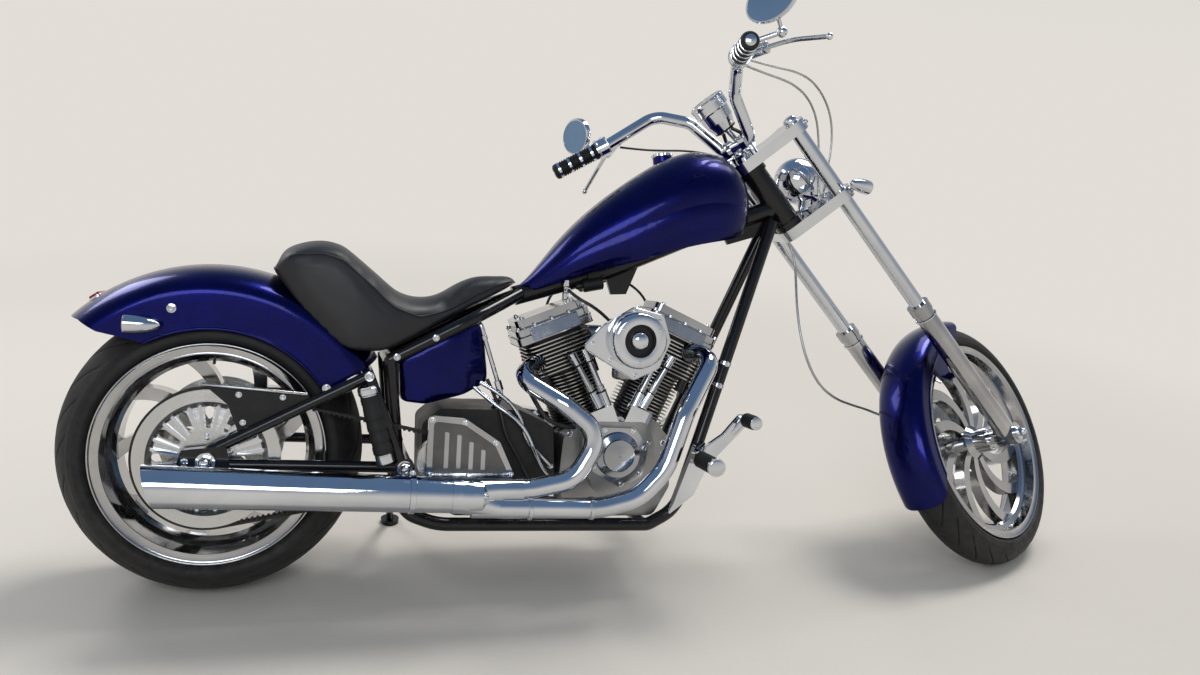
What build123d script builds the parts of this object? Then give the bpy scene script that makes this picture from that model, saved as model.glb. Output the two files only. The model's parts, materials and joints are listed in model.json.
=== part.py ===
"""Chopper motorcycle resting on its side stand, in millimetres.

Every piece is drawn on the upright machine: X forward, Y to the rider's left, Z up, with the
origin on the ground under the rear axle. Steered pieces are drawn in fork coordinates: w ahead
of the steering axis and square to it, y to the left, h up along the axis from the axle's height.
At the end the fork is turned to its left stop and the machine is leaned onto its stand.
"""
import math
import os

from build123d import *

# Stance
WHEELBASE = 2082.0
RAKE = 42.16
STEER_STOP = 33.0
LEAN = 13.5

# Rear wheel
REAR_RADIUS = 328.0
REAR_CROWN = 160.0
REAR_HALF_WIDTH = 125.0
REAR_CROWN_HALF = 105.0
REAR_FLANGE = 246.0
REAR_BEAD = 229.0
REAR_RIM_HALF = 114.0
REAR_WELL = 200.0
REAR_SPOKES = 9

# Front wheel
FRONT_RADIUS = 350.0
FRONT_CROWN = 60.0
FRONT_FLANGE = 284.0
FRONT_BEAD = 270.0
FRONT_RIM_HALF = 50.0
FRONT_WELL = 238.0
FRONT_SPOKES = 10

# Hubs, axles and brakes
LIP = 5.0
HUB_RADIUS = 44.0
REAR_HUB_HALF = 130.0
FRONT_HUB_HALF = 70.0
REAR_AXLE_RADIUS = 13.0
FRONT_AXLE_RADIUS = 12.0
AXLE_BORE = 7.0
AXLE_BORE_DEPTH = 60.0
RUNNING_GAP = 0.05
SIDE_GAP = 0.3
DISC_RADIUS = 146.0
DISC_THICK = 5.0

# Belt drive
PULLEY_RADIUS = 150.0
BELT_HALF = 13.0
BELT_THICK = 5.0
BELT_Y = -148.0
GEARBOX_PULLEY_RADIUS = 54.0
GEARBOX_PULLEY_X = 498.0
GEARBOX_PULLEY_Z = 324.0

# Frame
FRAME_TUBE = 16.0
NECK_RADIUS = 33.0
NECK_LOW = 880.0
NECK_HIGH = 1068.0
STEM_RADIUS = 20.0
RAIL_Y = 114.0
PIVOT_X = 421.0
PIVOT_Z = 314.0
ARM_Y = 178.0
ARM_TUBE = 12.5
ARM_END_Y = 191.0
ARM_TOP_X = 330.0
ARM_TOP_Z = 518.0

# Fork
FORK_AHEAD = 106.0
FORK_AHEAD_TOP = 91.0
FORK_HALF = 120.6
FORK_TUBE = 20.5
FORK_SLIDER = 28.0
SLIDER_LENGTH = 487.0
FORK_LENGTH = 1100.0
TREE_THICK = 30.0
BAR_RADIUS = 16.0
GRIP_RADIUS = 19.5
GRIP_LENGTH = 118.0
MIRROR_LONG = 66.0
MIRROR_SHORT = 47.0
MIRROR_BALL = 13.0
DIAL_RADIUS = 47.0

# Engine
CRANK_X = 935.0
CRANK_Z = 240.0
V_HALF_ANGLE = 22.5
BARREL_START = 185.0
BARREL_FINS = 9
FIN_PITCH = 15.0
FIN_THICK = 6.0
FIN_RADIUS = 73.0
BARREL_RADIUS = 58.0
CASE_HALF = 95.0

# Exhaust
PIPE_RADIUS = 24.0
MUFFLER_Y = -240.0
MUFFLER_FRONT = 39.0
MUFFLER_REAR = 45.0

# Sheet metal
SHEET = 3.0
REAR_FENDER_RADIUS = 417.0
REAR_FENDER_HALF = 138.0
REAR_FENDER_EDGE = 277.0
FRONT_FENDER_RADIUS = 379.0
FRONT_FENDER_HALF = 72.0
FRONT_FENDER_EDGE = 302.0

# Side stand
STAND_X = 412.0
STAND_Y = 152.0
STAND_Z = 171.0
STAND_BOLT = (-0.12, 0.35, 0.93)
STAND_BOLT_RADIUS = 7.0
STAND_EYE = 15.0
STAND_HALF = 12.0
STAND_OUT = 108.0
STAND_AHEAD = 8.0
STAND_TUBE = 9.5


# Helpers
def rod(start, end, radius):
    """Straight round bar between two points."""
    start = Vector(*start)
    run = Vector(*end) - start
    lifted = (Align.CENTER, Align.CENTER, Align.MIN)
    return Plane(origin=start, z_dir=run) * Cylinder(radius, run.length, align=lifted)


def tube(points, bends, radius):
    """Round bar along straight runs joined by tangent arcs."""
    path = FilletPolyline(*points, radius=bends)
    start = Plane(origin=path @ 0, z_dir=path % 0)
    return sweep(start * Circle(radius), path=path)


def turned(lines):
    """Solid of revolution about the Y axis from lines in (radius, y)."""
    return revolve(make_face(Curve() + lines), Axis.Y)


def spool(outline):
    """Solid of revolution about the Y axis from (radius, y) corners."""
    return turned([Polyline(*outline, close=True)])


def drum(x, z, low, high, radius):
    """Cylinder across the machine, from one y to the other."""
    return rod((x, low, z), (x, high, z), radius)


def slab(face, low, high):
    """Side-view outline given thickness across the machine."""
    side = Plane(origin=(0, high, 0), x_dir=(1, 0, 0), z_dir=(0, -1, 0))
    return extrude(side * face, amount=high - low)


def plate(points, low, high, corner=0.0):
    """Side-view polygon, with round corners if asked, given thickness across the machine."""
    if corner:
        outline = FilletPolyline(*points, radius=corner, close=True)
    else:
        outline = Polyline(*points, close=True)
    return slab(make_face(outline), low, high)


def hull(circles, low, high):
    """Side-view belt round some (x, z, radius) circles, given thickness."""
    edges = [Pos(x, z) * Circle(radius).edge() for x, z, radius in circles]
    return slab(make_hull(edges), low, high)


def mirrored(solid):
    """The same piece on the other side of the machine."""
    return mirror(solid, about=Plane.XZ)


def pair(solid):
    """A piece and its mirror image."""
    return Compound(children=[solid, mirrored(solid)])


def ring(shape, count):
    """Copies of a piece, evenly round the Y axis."""
    return [Rot(0, 360.0 / count * i, 0) * shape for i in range(count)]


def polar(radius, degrees):
    """Point of a side view, from the wheel's centre."""
    angle = math.radians(degrees)
    return (radius * math.cos(angle), radius * math.sin(angle))


# Wheels
def tyre(radius, crown, crown_half, side_half, flange, bead, rim_half):
    """Solid tyre ring with a round crown, seated between the rim's lips."""
    seat = rim_half - LIP
    centre = radius - crown
    edge = centre + math.sqrt(crown ** 2 - crown_half ** 2)
    bulge = flange + 0.4 * (edge - flange)
    low_side = (0.5 * (flange + bulge), 0.25 * seat + 0.75 * side_half)
    shoulder = (0.5 * (bulge + edge) + 0.12 * (side_half - crown_half), 0.62 * side_half + 0.38 * crown_half)
    right = Polyline((bead, -seat), (flange, -seat)).edges()
    right += ThreePointArc((flange, -seat), (low_side[0], -low_side[1]), (bulge, -side_half)).edges()
    right += ThreePointArc((bulge, -side_half), (shoulder[0], -shoulder[1]), (edge, -crown_half)).edges()
    left = [mirror(line, about=Plane.XZ) for line in right]
    crown_arc = ThreePointArc((edge, -crown_half), (radius, 0), (edge, crown_half))
    closing = Line((bead, seat), (bead, -seat))
    return turned([*right, *left, crown_arc, closing])


def rim(flange, bead, rim_half, well, step):
    """Rim barrel with a drop well outside and stepped polished lips inside."""
    seat = rim_half - LIP
    half = [
        (flange, rim_half),
        (flange, seat),
        (bead, seat),
        (bead, 0.70 * seat),
        (well + 14, 0.42 * seat),
    ]
    inside = [
        (well, 0.36 * seat),
        (well + 0.35 * step, 0.52 * seat),
        (bead - 13, 0.62 * seat),
        (bead - 7, rim_half),
    ]
    outline = half + [(r, -y) for r, y in reversed(half)] + [(r, -y) for r, y in reversed(inside)] + inside
    return spool(outline)


def swept_spoke(inner, outer, sweep_angle, root, tip, thick):
    """Curved billet spoke between the hub and the rim barrel."""
    middle = 0.5 * (inner + outer)
    lead = [polar(inner, root), polar(middle, 0.30 * sweep_angle + 0.5 * (root + tip) * 0.62),
            polar(outer, sweep_angle + tip)]
    trail = [polar(inner, -root), polar(middle, 0.30 * sweep_angle - 0.5 * (root + tip) * 0.62),
             polar(outer, sweep_angle - tip)]
    outline = [
        ThreePointArc(*lead),
        Line(lead[2], trail[2]),
        ThreePointArc(*trail),
        Line(trail[0], lead[0]),
    ]
    return slab(make_face(Curve() + outline), -thick / 2, thick / 2)


def billet_wheel(rim_solid, well, spokes, sweep_angle, thick, hub_half, axle_radius):
    """Rim, swept spokes and hub of one machined wheel."""
    spoke = swept_spoke(HUB_RADIUS - 4, well + 6, sweep_angle, 15.0, 5.5, thick)
    cup = [
        (0, -hub_half),
        (HUB_RADIUS - 8, -hub_half),
        (HUB_RADIUS - 8, -thick),
        (HUB_RADIUS + 6, -thick / 2),
        (HUB_RADIUS + 6, thick / 2),
        (HUB_RADIUS - 8, thick),
        (HUB_RADIUS - 8, hub_half),
        (0, hub_half),
    ]
    wheel = rim_solid + spool(cup) + ring(spoke, spokes)
    return wheel - drum(0, 0, -hub_half, hub_half, axle_radius + RUNNING_GAP)


def brake_disc(y, side, bore):
    """Brake disc with drilled carrier, on one side of a hub."""
    low, high = sorted((y, y + side * DISC_THICK))
    disc = drum(0, 0, low, high, DISC_RADIUS) - drum(0, 0, low, high, bore)
    windows = [Rot(0, 360.0 / 6 * i, 0) * drum(72, 0, low, high, 22) for i in range(6)]
    return disc - windows


def rear_pulley():
    """Toothed belt pulley with a slotted web, against the right end of the rear hub."""
    low = BELT_Y - BELT_HALF
    high = BELT_Y + BELT_HALF
    web = (low + 8, -REAR_HUB_HALF)
    outline = [
        (40, web[0]),
        (60, web[0]),
        (112, web[0] + 4),
        (124, low),
        (PULLEY_RADIUS, low),
        (PULLEY_RADIUS, high),
        (132, high),
        (124, web[0] + 10),
        (60, web[0] + 8),
        (40, web[1]),
        (24, web[1]),
        (24, web[0]),
    ]
    slot = hull([(70, 0, 5), (104, 0, 9)], low, high)
    return spool(outline) - ring(slot, 12)


def belt_loop(pulley, small, grow):
    """Side view round both pulleys, grown outward."""
    large = Pos(0, REAR_RADIUS) * Circle(pulley + grow).edge()
    little = Pos(GEARBOX_PULLEY_X, GEARBOX_PULLEY_Z) * Circle(small + grow).edge()
    return make_hull([large, little])


def drive_belt():
    """Belt as one loop round the rear and gearbox pulleys."""
    outer = belt_loop(PULLEY_RADIUS, GEARBOX_PULLEY_RADIUS, SIDE_GAP + BELT_THICK)
    inner = belt_loop(PULLEY_RADIUS, GEARBOX_PULLEY_RADIUS, SIDE_GAP)
    return slab(outer - inner, BELT_Y - BELT_HALF + 2, BELT_Y + BELT_HALF - 2)


def gearbox_pulley():
    """Small front pulley on the gearbox shaft."""
    low, high = BELT_Y - BELT_HALF, BELT_Y + BELT_HALF
    body = drum(GEARBOX_PULLEY_X, GEARBOX_PULLEY_Z, low, high, GEARBOX_PULLEY_RADIUS)
    return body + drum(GEARBOX_PULLEY_X, GEARBOX_PULLEY_Z, high, -CASE_HALF, 22)


# Fork coordinates
def fork_plane():
    """Steering axis, from its point square to the front axle."""
    rake = math.radians(RAKE)
    up = Vector(-math.sin(rake), 0, math.cos(rake))
    ahead = Vector(math.cos(rake), 0, math.sin(rake))
    axle = Vector(WHEELBASE, 0, FRONT_RADIUS)
    return Plane(origin=axle - ahead * FORK_AHEAD, x_dir=ahead, z_dir=up)


FORK = fork_plane()


def leg_point(s, y=FORK_HALF):
    """Point on a fork leg's centre line, s above the axle."""
    share = s / FORK_LENGTH
    return (FORK_AHEAD + (FORK_AHEAD_TOP - FORK_AHEAD) * share, y, s)


# Frame
def neck_tube():
    """Steering neck with a bore that the stem turns in, on the upright machine."""
    low, high = (0, 0, NECK_LOW), (0, 0, NECK_HIGH)
    cups = rod(low, (0, 0, NECK_LOW + 18), NECK_RADIUS + 5) + rod((0, 0, NECK_HIGH - 18), high, NECK_RADIUS + 5)
    neck = rod(low, high, NECK_RADIUS) + cups - rod(low, high, STEM_RADIUS + RUNNING_GAP)
    return FORK.location * neck


def spine_points():
    """Backbone from the neck to the seat."""
    return [(1352, 0, 968), (1165, 0, 898), (905, 0, 780), (676, 0, 706)]


def rail_points(side):
    """One side loop: down tube, lower cradle rail and rear post."""
    table = [
        # x, share of the rail's half width, z
        (1352, 0.16, 935),
        (1146, 0.96, 372),
        (1092, 1.0, 196),
        (1022, 1.0, 158),
        (500, 1.0, 166),
        (420, 1.0, 196),
        (404, 1.0, 300),
        (376, 1.0, 548),
    ]
    return [(x, side * RAIL_Y * share, z) for x, share, z in table]


def frame_rail(side):
    """Side loop as one bent tube."""
    return tube(rail_points(side), [420, 90, 40, 160, 60, 300], FRAME_TUBE)


def seat_rail(side):
    """Top rail from the rear post to the backbone."""
    points = [
        (376, side * RAIL_Y, 548),
        (566, side * RAIL_Y, 652),
        (690, side * 12, 712),
    ]
    return tube(points, [120], FRAME_TUBE - 1)


def frame_spine():
    """Neck, backbone, gusset, engine head mount and both seat rails, welded."""
    neck = neck_tube()
    backbone = tube(spine_points(), [400, 500], FRAME_TUBE + 8)
    gusset = plate([(1338, 985), (1200, 925), (1236, 868), (1368, 912)], -5, 5)
    bridge = drum(378, 546, -RAIL_Y, RAIL_Y, FRAME_TUBE - 2)
    head_mount = plate([(905, 778), (1000, 815), (965, 725), (925, 722)], -6, 6)
    body = backbone + gusset + bridge + head_mount
    body += seat_rail(1)
    body += seat_rail(-1)
    bore = FORK.location * rod((0, 0, NECK_LOW - 5), (0, 0, NECK_HIGH + 5), NECK_RADIUS)
    return body - bore + neck


def frame_rails():
    """Both side loops with the cross tubes that carry the engine, and the stand's bracket."""
    cross = [
        # x, z
        (1015, 158),
        (840, 161),
        (640, 164),
    ]
    rails = frame_rail(1) + frame_rail(-1)
    for x, z in cross:
        rails += drum(x, z, -RAIL_Y, RAIL_Y, FRAME_TUBE - 3)
    pivot = drum(PIVOT_X - 6, PIVOT_Z, -ARM_Y + ARM_TUBE, ARM_Y - ARM_TUBE, 19)
    rails += pivot
    return rails + stand_bracket()


def stand_plane():
    """Stand's pivot, with z along its bolt and y outboard and down."""
    bolt = Vector(*STAND_BOLT)
    return Plane(origin=(STAND_X, STAND_Y, STAND_Z), x_dir=Vector(1, 0, 0) - bolt * (bolt.X / bolt.dot(bolt)),
                 z_dir=bolt)


def stand_bracket():
    """Clevis and bolt of the side stand, on the left rail."""
    cheek = make_hull([Circle(STAND_EYE).edge(), (Pos(0, -36) * Circle(10)).edge()])
    body = extrude(Pos(0, 0, STAND_HALF + SIDE_GAP) * cheek, amount=6)
    body += extrude(Pos(0, 0, -STAND_HALF - SIDE_GAP - 6) * cheek, amount=6)
    body += Pos(0, -38, 0) * Box(22, 16, 2 * STAND_HALF + 2 * SIDE_GAP + 12)
    body += rod((0, 0, -STAND_HALF - 12), (0, 0, STAND_HALF + 12), STAND_BOLT_RADIUS)
    return stand_plane().location * body


def swingarm():
    """Rear triangle: axle plates, lower arms, upper struts, front posts and cross tube."""
    axle = (0, 0, REAR_RADIUS)
    top = (ARM_TOP_X, ARM_Y, ARM_TOP_Z)
    plate_outline = [(-58, REAR_RADIUS - 6), (-50, REAR_RADIUS + 24), (40, REAR_RADIUS + 34), (52, REAR_RADIUS - 24),
                     (-40, REAR_RADIUS - 26)]
    arm = plate(plate_outline, ARM_Y - ARM_TUBE, ARM_END_Y, 8)
    arm += rod((0, ARM_Y, REAR_RADIUS + 18), top, ARM_TUBE)
    arm += rod((10, ARM_Y, REAR_RADIUS - 8), (PIVOT_X - 6, ARM_Y, PIVOT_Z), ARM_TUBE)
    arm += rod(top, (PIVOT_X - 14, ARM_Y, PIVOT_Z + 10), ARM_TUBE)
    arm += Pos(*top) * Sphere(ARM_TUBE)
    arm += drum(PIVOT_X - 6, PIVOT_Z, ARM_Y - ARM_TUBE, ARM_END_Y, 22)
    body = arm + mirrored(arm) + drum(top[0], top[2], -ARM_Y, ARM_Y, ARM_TUBE)
    fender_lug = drum(240, 488, REAR_FENDER_HALF, ARM_Y - 4, 9)
    body += fender_lug
    body += mirrored(fender_lug)
    return body - drum(0, REAR_RADIUS, -220, 220, REAR_AXLE_RADIUS)


def rear_axle():
    """Rear axle with its end nuts and the spacers that set the wheel's place."""
    reach = ARM_END_Y + 12
    axle = drum(0, REAR_RADIUS, -reach, reach, REAR_AXLE_RADIUS)
    nut = drum(0, REAR_RADIUS, ARM_END_Y, ARM_END_Y + 8, 20)
    spacer = drum(0, REAR_RADIUS, REAR_HUB_HALF + SIDE_GAP, ARM_Y - ARM_TUBE, 19)
    axle = axle + nut + mirrored(nut) + spacer + mirrored(spacer)
    return axle - drum(0, REAR_RADIUS, reach - AXLE_BORE_DEPTH, reach, AXLE_BORE)


def strut_height(x):
    """Height of the upper struts' centre line at a given x."""
    low = REAR_RADIUS + 18
    return low + (ARM_TOP_Z - low) * x / ARM_TOP_X


def belt_guard():
    """Triangular guard plate above the belt's top run, on the right upper strut."""
    inner = -ARM_Y + 5
    table = [
        # x, rise over the strut's centre line
        (-14, 154.29697),
        (202, 24.715152),
        (208, 5.587879),
        (63, 5.163636),
        (38, 82.193939),
    ]
    points = [(x, strut_height(x) + rise) for x, rise in table]
    guard = plate(points, inner, inner + 3)
    edge = points[:2]
    lip = plate(edge + [(x, z - 4) for x, z in reversed(edge)], inner - 10, inner + 3)
    strut = rod((0, -ARM_Y, REAR_RADIUS + 18), (ARM_TOP_X, -ARM_Y, ARM_TOP_Z), ARM_TUBE)
    return guard + lip - strut


# Sheet metal
def fender_section(edge, shoulder, crown, half):
    """Half-round U section in (radius, y), as thick as the sheet."""
    def outline(inset):
        wide, top = half - inset, crown - inset
        curve = (shoulder + 0.74 * (top - shoulder), 0.70 * wide)
        return wide, top, curve

    wide, top, curve = outline(0)
    in_wide, in_top, in_curve = outline(SHEET)
    lines = [
        Line((edge, -wide), (shoulder, -wide)),
        ThreePointArc((shoulder, -wide), (curve[0], -curve[1]), (top, 0)),
        ThreePointArc((top, 0), curve, (shoulder, wide)),
        Line((shoulder, wide), (edge, wide)),
        Line((edge, wide), (edge, in_wide)),
        Line((edge, in_wide), (shoulder, in_wide)),
        ThreePointArc((shoulder, in_wide), in_curve, (in_top, 0)),
        ThreePointArc((in_top, 0), (in_curve[0], -in_curve[1]), (shoulder, -in_wide)),
        Line((shoulder, -in_wide), (edge, -in_wide)),
        Line((edge, -in_wide), (edge, -wide)),
    ]
    return make_face(Curve() + lines)


def fender_space(shoulder, crown, half, gap):
    """Everything inside a fender's outer surface all the way round, grown by a gap."""
    wide, top = half + gap, crown + gap
    curve = (shoulder + 0.74 * (top - shoulder), 0.70 * wide)
    return turned([
        Line((0, -wide), (shoulder, -wide)),
        ThreePointArc((shoulder, -wide), (curve[0], -curve[1]), (top, 0)),
        ThreePointArc((top, 0), curve, (shoulder, wide)),
        Polyline((shoulder, wide), (0, wide), (0, -wide)),
    ])


def rear_fender():
    """Wide rear fender round the tyre, with a kicked-up tail."""
    section = fender_section(REAR_FENDER_EDGE, 352, REAR_FENDER_RADIUS, REAR_FENDER_HALF)
    reach = math.hypot(ARM_TOP_X, ARM_TOP_Z - REAR_RADIUS)
    front = math.degrees(math.atan2(ARM_TOP_Z - REAR_RADIUS, ARM_TOP_X) + math.asin((ARM_TUBE + SIDE_GAP) / reach))
    shell = Rot(0, -137, 0) * revolve(section, Axis.Y, 137 - front)
    shell = Pos(0, 0, REAR_RADIUS) * shell
    tail = [(-98, 560), (-186, 583), (-228, 592), (-268, 614), (-420, 640), (-420, 300), (-98, 300)]
    return shell - plate(tail, -200, 200)


def front_fender():
    """Front fender behind the wheel, with a pointed tab at each fork leg, in fork coordinates."""
    section = fender_section(FRONT_FENDER_EDGE, 338, FRONT_FENDER_RADIUS, FRONT_FENDER_HALF)
    shell = Rot(0, -168, 0) * revolve(section, Axis.Y, 118)
    tab = [(8, 212), (-62, 296), (-30, 318), (40, 316), (26, 250)]
    side = plate(tab, FRONT_FENDER_HALF - SHEET, FRONT_FENDER_HALF)
    lug = drum(10, 232, FRONT_FENDER_HALF, FORK_HALF - FORK_SLIDER + 6, 9)
    lug = Pos(FORK_AHEAD, 0, 0) * lug
    lug = lug - rod(leg_point(0), leg_point(FORK_LENGTH), FORK_SLIDER)
    shell = shell + side + mirrored(side)
    shell = Pos(FORK_AHEAD, 0, 0) * shell
    return shell + lug + mirrored(lug)


def tank_section(x, low, high, half, shoulder):
    """Domed tank section with a flat floor, at one station."""
    rise = high - low
    floor = 0.80 * half
    side = low + 0.42 * rise
    lines = [
        Line((-floor, low), (floor, low)),
        ThreePointArc((floor, low), (0.97 * half, low + 0.16 * rise), (half, side)),
        ThreePointArc((half, side), (shoulder * half, low + 0.86 * rise), (0, high)),
        ThreePointArc((0, high), (-shoulder * half, low + 0.86 * rise), (-half, side)),
        ThreePointArc((-half, side), (-0.97 * half, low + 0.16 * rise), (-floor, low)),
    ]
    station = Plane(origin=(x, 0, 0), x_dir=(0, 1, 0), z_dir=(1, 0, 0))
    return station * make_face(Curve() + lines)


def fuel_tank():
    """Stretched teardrop tank over the backbone."""
    table = [
        # x, floor z, top z, half width, shoulder share
        (692, 722, 736, 16, 0.72),
        (770, 742, 832, 56, 0.72),
        (900, 788, 966, 96, 0.72),
        (1050, 838, 1072, 122, 0.72),
        (1160, 868, 1097, 124, 0.72),
        (1225, 884, 1070, 104, 0.72),
        (1262, 914, 1015, 64, 0.72),
    ]
    body = loft([tank_section(*row) for row in table])
    spine = tube(spine_points(), [400, 500], FRAME_TUBE + 8)
    tunnel = plate([(640, 640), (640, 716), (905, 790), (1165, 906), (1300, 952), (1300, 640)], -26, 26)
    filler = rod((1064, 44, 1040), (1058, 50, 1091), 25)
    return body + filler - spine - tunnel


def oil_tank():
    """Painted oil tank under the seat rails."""
    points = [(398, 554), (590, 659), (612, 500), (556, 472), (462, 446), (404, 452)]
    return plate(points, -104, 104, 14) - frame_spine()


def seat():
    """Solo seat: tall rear hump, dip and long nose, over the fender and seat rails."""
    side_view = [
        Polyline((108, 752), (136, 790), (168, 802)),
        ThreePointArc((168, 802), (218, 810), (268, 800)),
        ThreePointArc((268, 800), (330, 750), (383, 706)),
        ThreePointArc((383, 706), (440, 688), (520, 716)),
        ThreePointArc((520, 716), (610, 756), (668, 762)),
        Polyline((668, 762), (684, 744), (655, 724), (560, 672), (446, 610), (356, 566), (278, 566), (240, 592),
                 (176, 652), (108, 752)),
    ]
    side = slab(make_face(Curve() + side_view), -200, 200)
    plan_view = [
        # x, half width
        (100, 96),
        (150, 132),
        (300, 146),
        (400, 138),
        (520, 96),
        (640, 56),
        (690, 34),
    ]
    outline = plan_view + [(x, -y) for x, y in reversed(plan_view)]
    plan = extrude(Pos(0, 0, 500) * make_face(FilletPolyline(*outline, radius=14, close=True)), amount=400)
    body = side & plan
    return body - Pos(0, 0, REAR_RADIUS) * fender_space(352, REAR_FENDER_RADIUS, REAR_FENDER_HALF, SIDE_GAP)


# Engine
def bank(sign):
    """Plane at the crank with z along a cylinder's axis and x forward across it."""
    lean = math.radians(V_HALF_ANGLE) * sign
    along = Vector(math.sin(lean), 0, math.cos(lean))
    across = Vector(math.cos(lean), 0, -math.sin(lean))
    return Plane(origin=(CRANK_X, 0, CRANK_Z), x_dir=across, z_dir=along)


def level(plane, outline, low, high):
    """Outline given thickness along a cylinder's axis."""
    return extrude(plane.offset(low) * outline, amount=high - low)


BARREL_TOP = BARREL_START + BARREL_FINS * FIN_PITCH
HEAD_TOP = BARREL_TOP + 92.0


def cylinder(sign):
    """Finned barrel and head of one cylinder."""
    plane = bank(sign)
    body = level(plane, Circle(BARREL_RADIUS), BARREL_START - 15, BARREL_TOP)
    for i in range(BARREL_FINS):
        low = BARREL_START + FIN_PITCH * i
        body += level(plane, Circle(FIN_RADIUS), low, low + FIN_THICK)
    head = RectangleRounded(132, 116, 30)
    fin = RectangleRounded(174, 148, 36)
    body += level(plane, head, BARREL_TOP, HEAD_TOP)
    for i in range(5):
        low = BARREL_TOP + 6 + FIN_PITCH * i
        body += level(plane, fin, low, low + FIN_THICK + 1)
    return body


def rocker_box(sign):
    """Three-piece rocker cover on one head."""
    plane = bank(sign)
    layers = [
        # length, width, from, to
        (196, 146, 0, 20),
        (186, 134, 20, 24),
        (192, 142, 24, 40),
        (176, 120, 40, 62),
    ]
    body = None
    for length, width, low, high in layers:
        layer = level(plane, RectangleRounded(length, width, 18), HEAD_TOP + low, HEAD_TOP + high)
        body = layer if body is None else body + layer
    return body


def pushrod_tubes():
    """Four pushrod tubes with tappet blocks, on the right of the cylinders."""
    table = [
        # bank, foot x, top share across
        (-1, 882, 10),
        (-1, 904, 44),
        (1, 966, -44),
        (1, 988, -10),
    ]
    solids = []
    for sign, foot, across in table:
        top = bank(sign).from_local_coords(Vector(across, -104, BARREL_TOP + 40))
        low = Vector(foot, -112, 446)
        run = (top - low).normalized()
        shaft = rod(low, top, 8) + rod(low, low + run * 46, 11.5) + rod(top - run * 30, top, 11.5)
        solids.append(shaft)
    blocks = []
    for x, tilt in ((893, -V_HALF_ANGLE), (977, V_HALF_ANGLE)):
        block = Pos(x, -112, 424) * Rot(0, tilt, 0) * Box(58, 30, 50)
        blocks.append(block)
    rear = blocks[0] + solids[0] + solids[1]
    front = blocks[1] + solids[2] + solids[3]
    chest = cam_chest()
    heads = cylinder(1) + cylinder(-1)
    return Compound(children=[rear - chest - heads, front - chest - heads])


def cam_chest():
    """Gear case on the right of the crankcase."""
    points = [(846, 300), (838, 372), (868, 416), (1000, 416), (1024, 360), (1014, 268), (960, 234), (880, 240)]
    return plate(points, -128, -CASE_HALF, 22)


def crankcase():
    """Crankcase with its gear case, the engine's heavy mass."""
    points = [(792, 252), (800, 372), (846, 424), (1024, 424), (1072, 372), (1080, 250), (1040, 176), (830, 176)]
    body = plate(points, -CASE_HALF, CASE_HALF, 26)
    body += cam_chest()
    neck = []
    for sign in (-1, 1):
        neck.append(level(bank(sign), Circle(FIN_RADIUS), 120, BARREL_START - 15))
    body += neck
    return body - [level(bank(sign), Circle(FIN_RADIUS + 4), BARREL_START - 15, 400) for sign in (-1, 1)]


def cam_cover():
    """Round-nosed cam cover on the gear case."""
    points = [(858, 300), (852, 352), (884, 404), (968, 402), (1002, 356), (992, 286), (938, 256)]
    body = plate(points, -142, -128, 20)
    nose = Pos(924, 0, 338) * spool([(0, -142), (56, -142), (54, -152), (40, -158), (38, -162), (0, -166)])
    return body + nose


def intake():
    """Manifold between the heads and the carburettor body."""
    manifold = rod((868, 0, 622), (1002, 0, 622), 21)
    carburettor = drum(CRANK_X, 624, -188, 0, 27) + plate([(905, 596), (905, 664), (965, 664), (965, 596)], -150, -60, 10)
    body = manifold + carburettor
    return body - cylinder(1) - cylinder(-1)


def air_cleaner():
    """Round air cleaner on a pointed backing plate, with a domed centre."""
    backing = [(806, 600), (848, 650), (930, 700), (1000, 684), (1022, 622), (996, 556), (934, 526), (870, 562)]
    body = plate(backing, -206, -188, 16)
    can = spool([(0, -206), (66, -206), (66, -236), (60, -244), (38, -246), (34, -238), (22, -240), (14, -248),
                 (0, -250)])
    return body + Pos(CRANK_X - 1, 0, 622) * can


def gearbox():
    """Gearbox case behind the engine."""
    points = [(462, 248), (458, 400), (500, 436), (690, 436), (772, 398), (784, 250), (740, 178), (540, 182)]
    return plate(points, -CASE_HALF, CASE_HALF, 24) - crankcase()


def gear_cover():
    """Bright three-cornered cover outside the gearbox pulley, with raised ribs."""
    back = [(464, 290), (464, 432), (548, 426), (628, 374), (668, 290)]
    low, high = -186.0, -172.0
    body = plate(back, low, high, 12)
    pocket = plate([(478, 304), (478, 418), (544, 412), (614, 366), (644, 304)], low, low + 6, 8)
    body -= pocket
    for x in (506, 542, 578):
        body += plate([(x, 302), (x + 8, 302), (x + 8, 380), (x, 388)], low, low + 7)
    for x, z in ((586, 300), (584, 392), (650, 300)):
        body += drum(x, z, high, -CASE_HALF, 7)
    return body


def primary_cover():
    """Long left cover over the primary drive, with a round clutch cover."""
    body = hull([(905, 296, 96), (610, 318, 112)], CASE_HALF, 158)
    derby = drum(610, 318, 158, 166, 68)
    return body + derby


# Exhaust
def muffler_axis(x):
    """Centre height of the muffler at a given x."""
    return 262 + (577 - x) * 25 / 687


def muffler():
    """Megaphone with a slash-cut tip and a domed front where both pipes enter."""
    front, rear = 600.0, -140.0
    length = front - rear
    outline = [
        (0, 0),
        (24, 4),
        (MUFFLER_FRONT - 2, 18),
        (MUFFLER_FRONT, 40),
        (MUFFLER_REAR, length),
        (MUFFLER_REAR - 3, length),
        (MUFFLER_REAR - 6, length - 60),
        (0, length - 64),
    ]
    body = revolve(make_face(Polyline(*outline, close=True)), Axis.Y)
    drop = math.degrees(math.atan2(muffler_axis(rear) - muffler_axis(front), length))
    body = Pos(front, MUFFLER_Y, muffler_axis(front)) * Rot(0, drop, 0) * Rot(0, 0, 90) * body
    slash = plate([(-300, 380), (-131, 380), (-88, 236), (-88, 180), (-300, 180)], -400, -100)
    return body - slash


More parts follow.
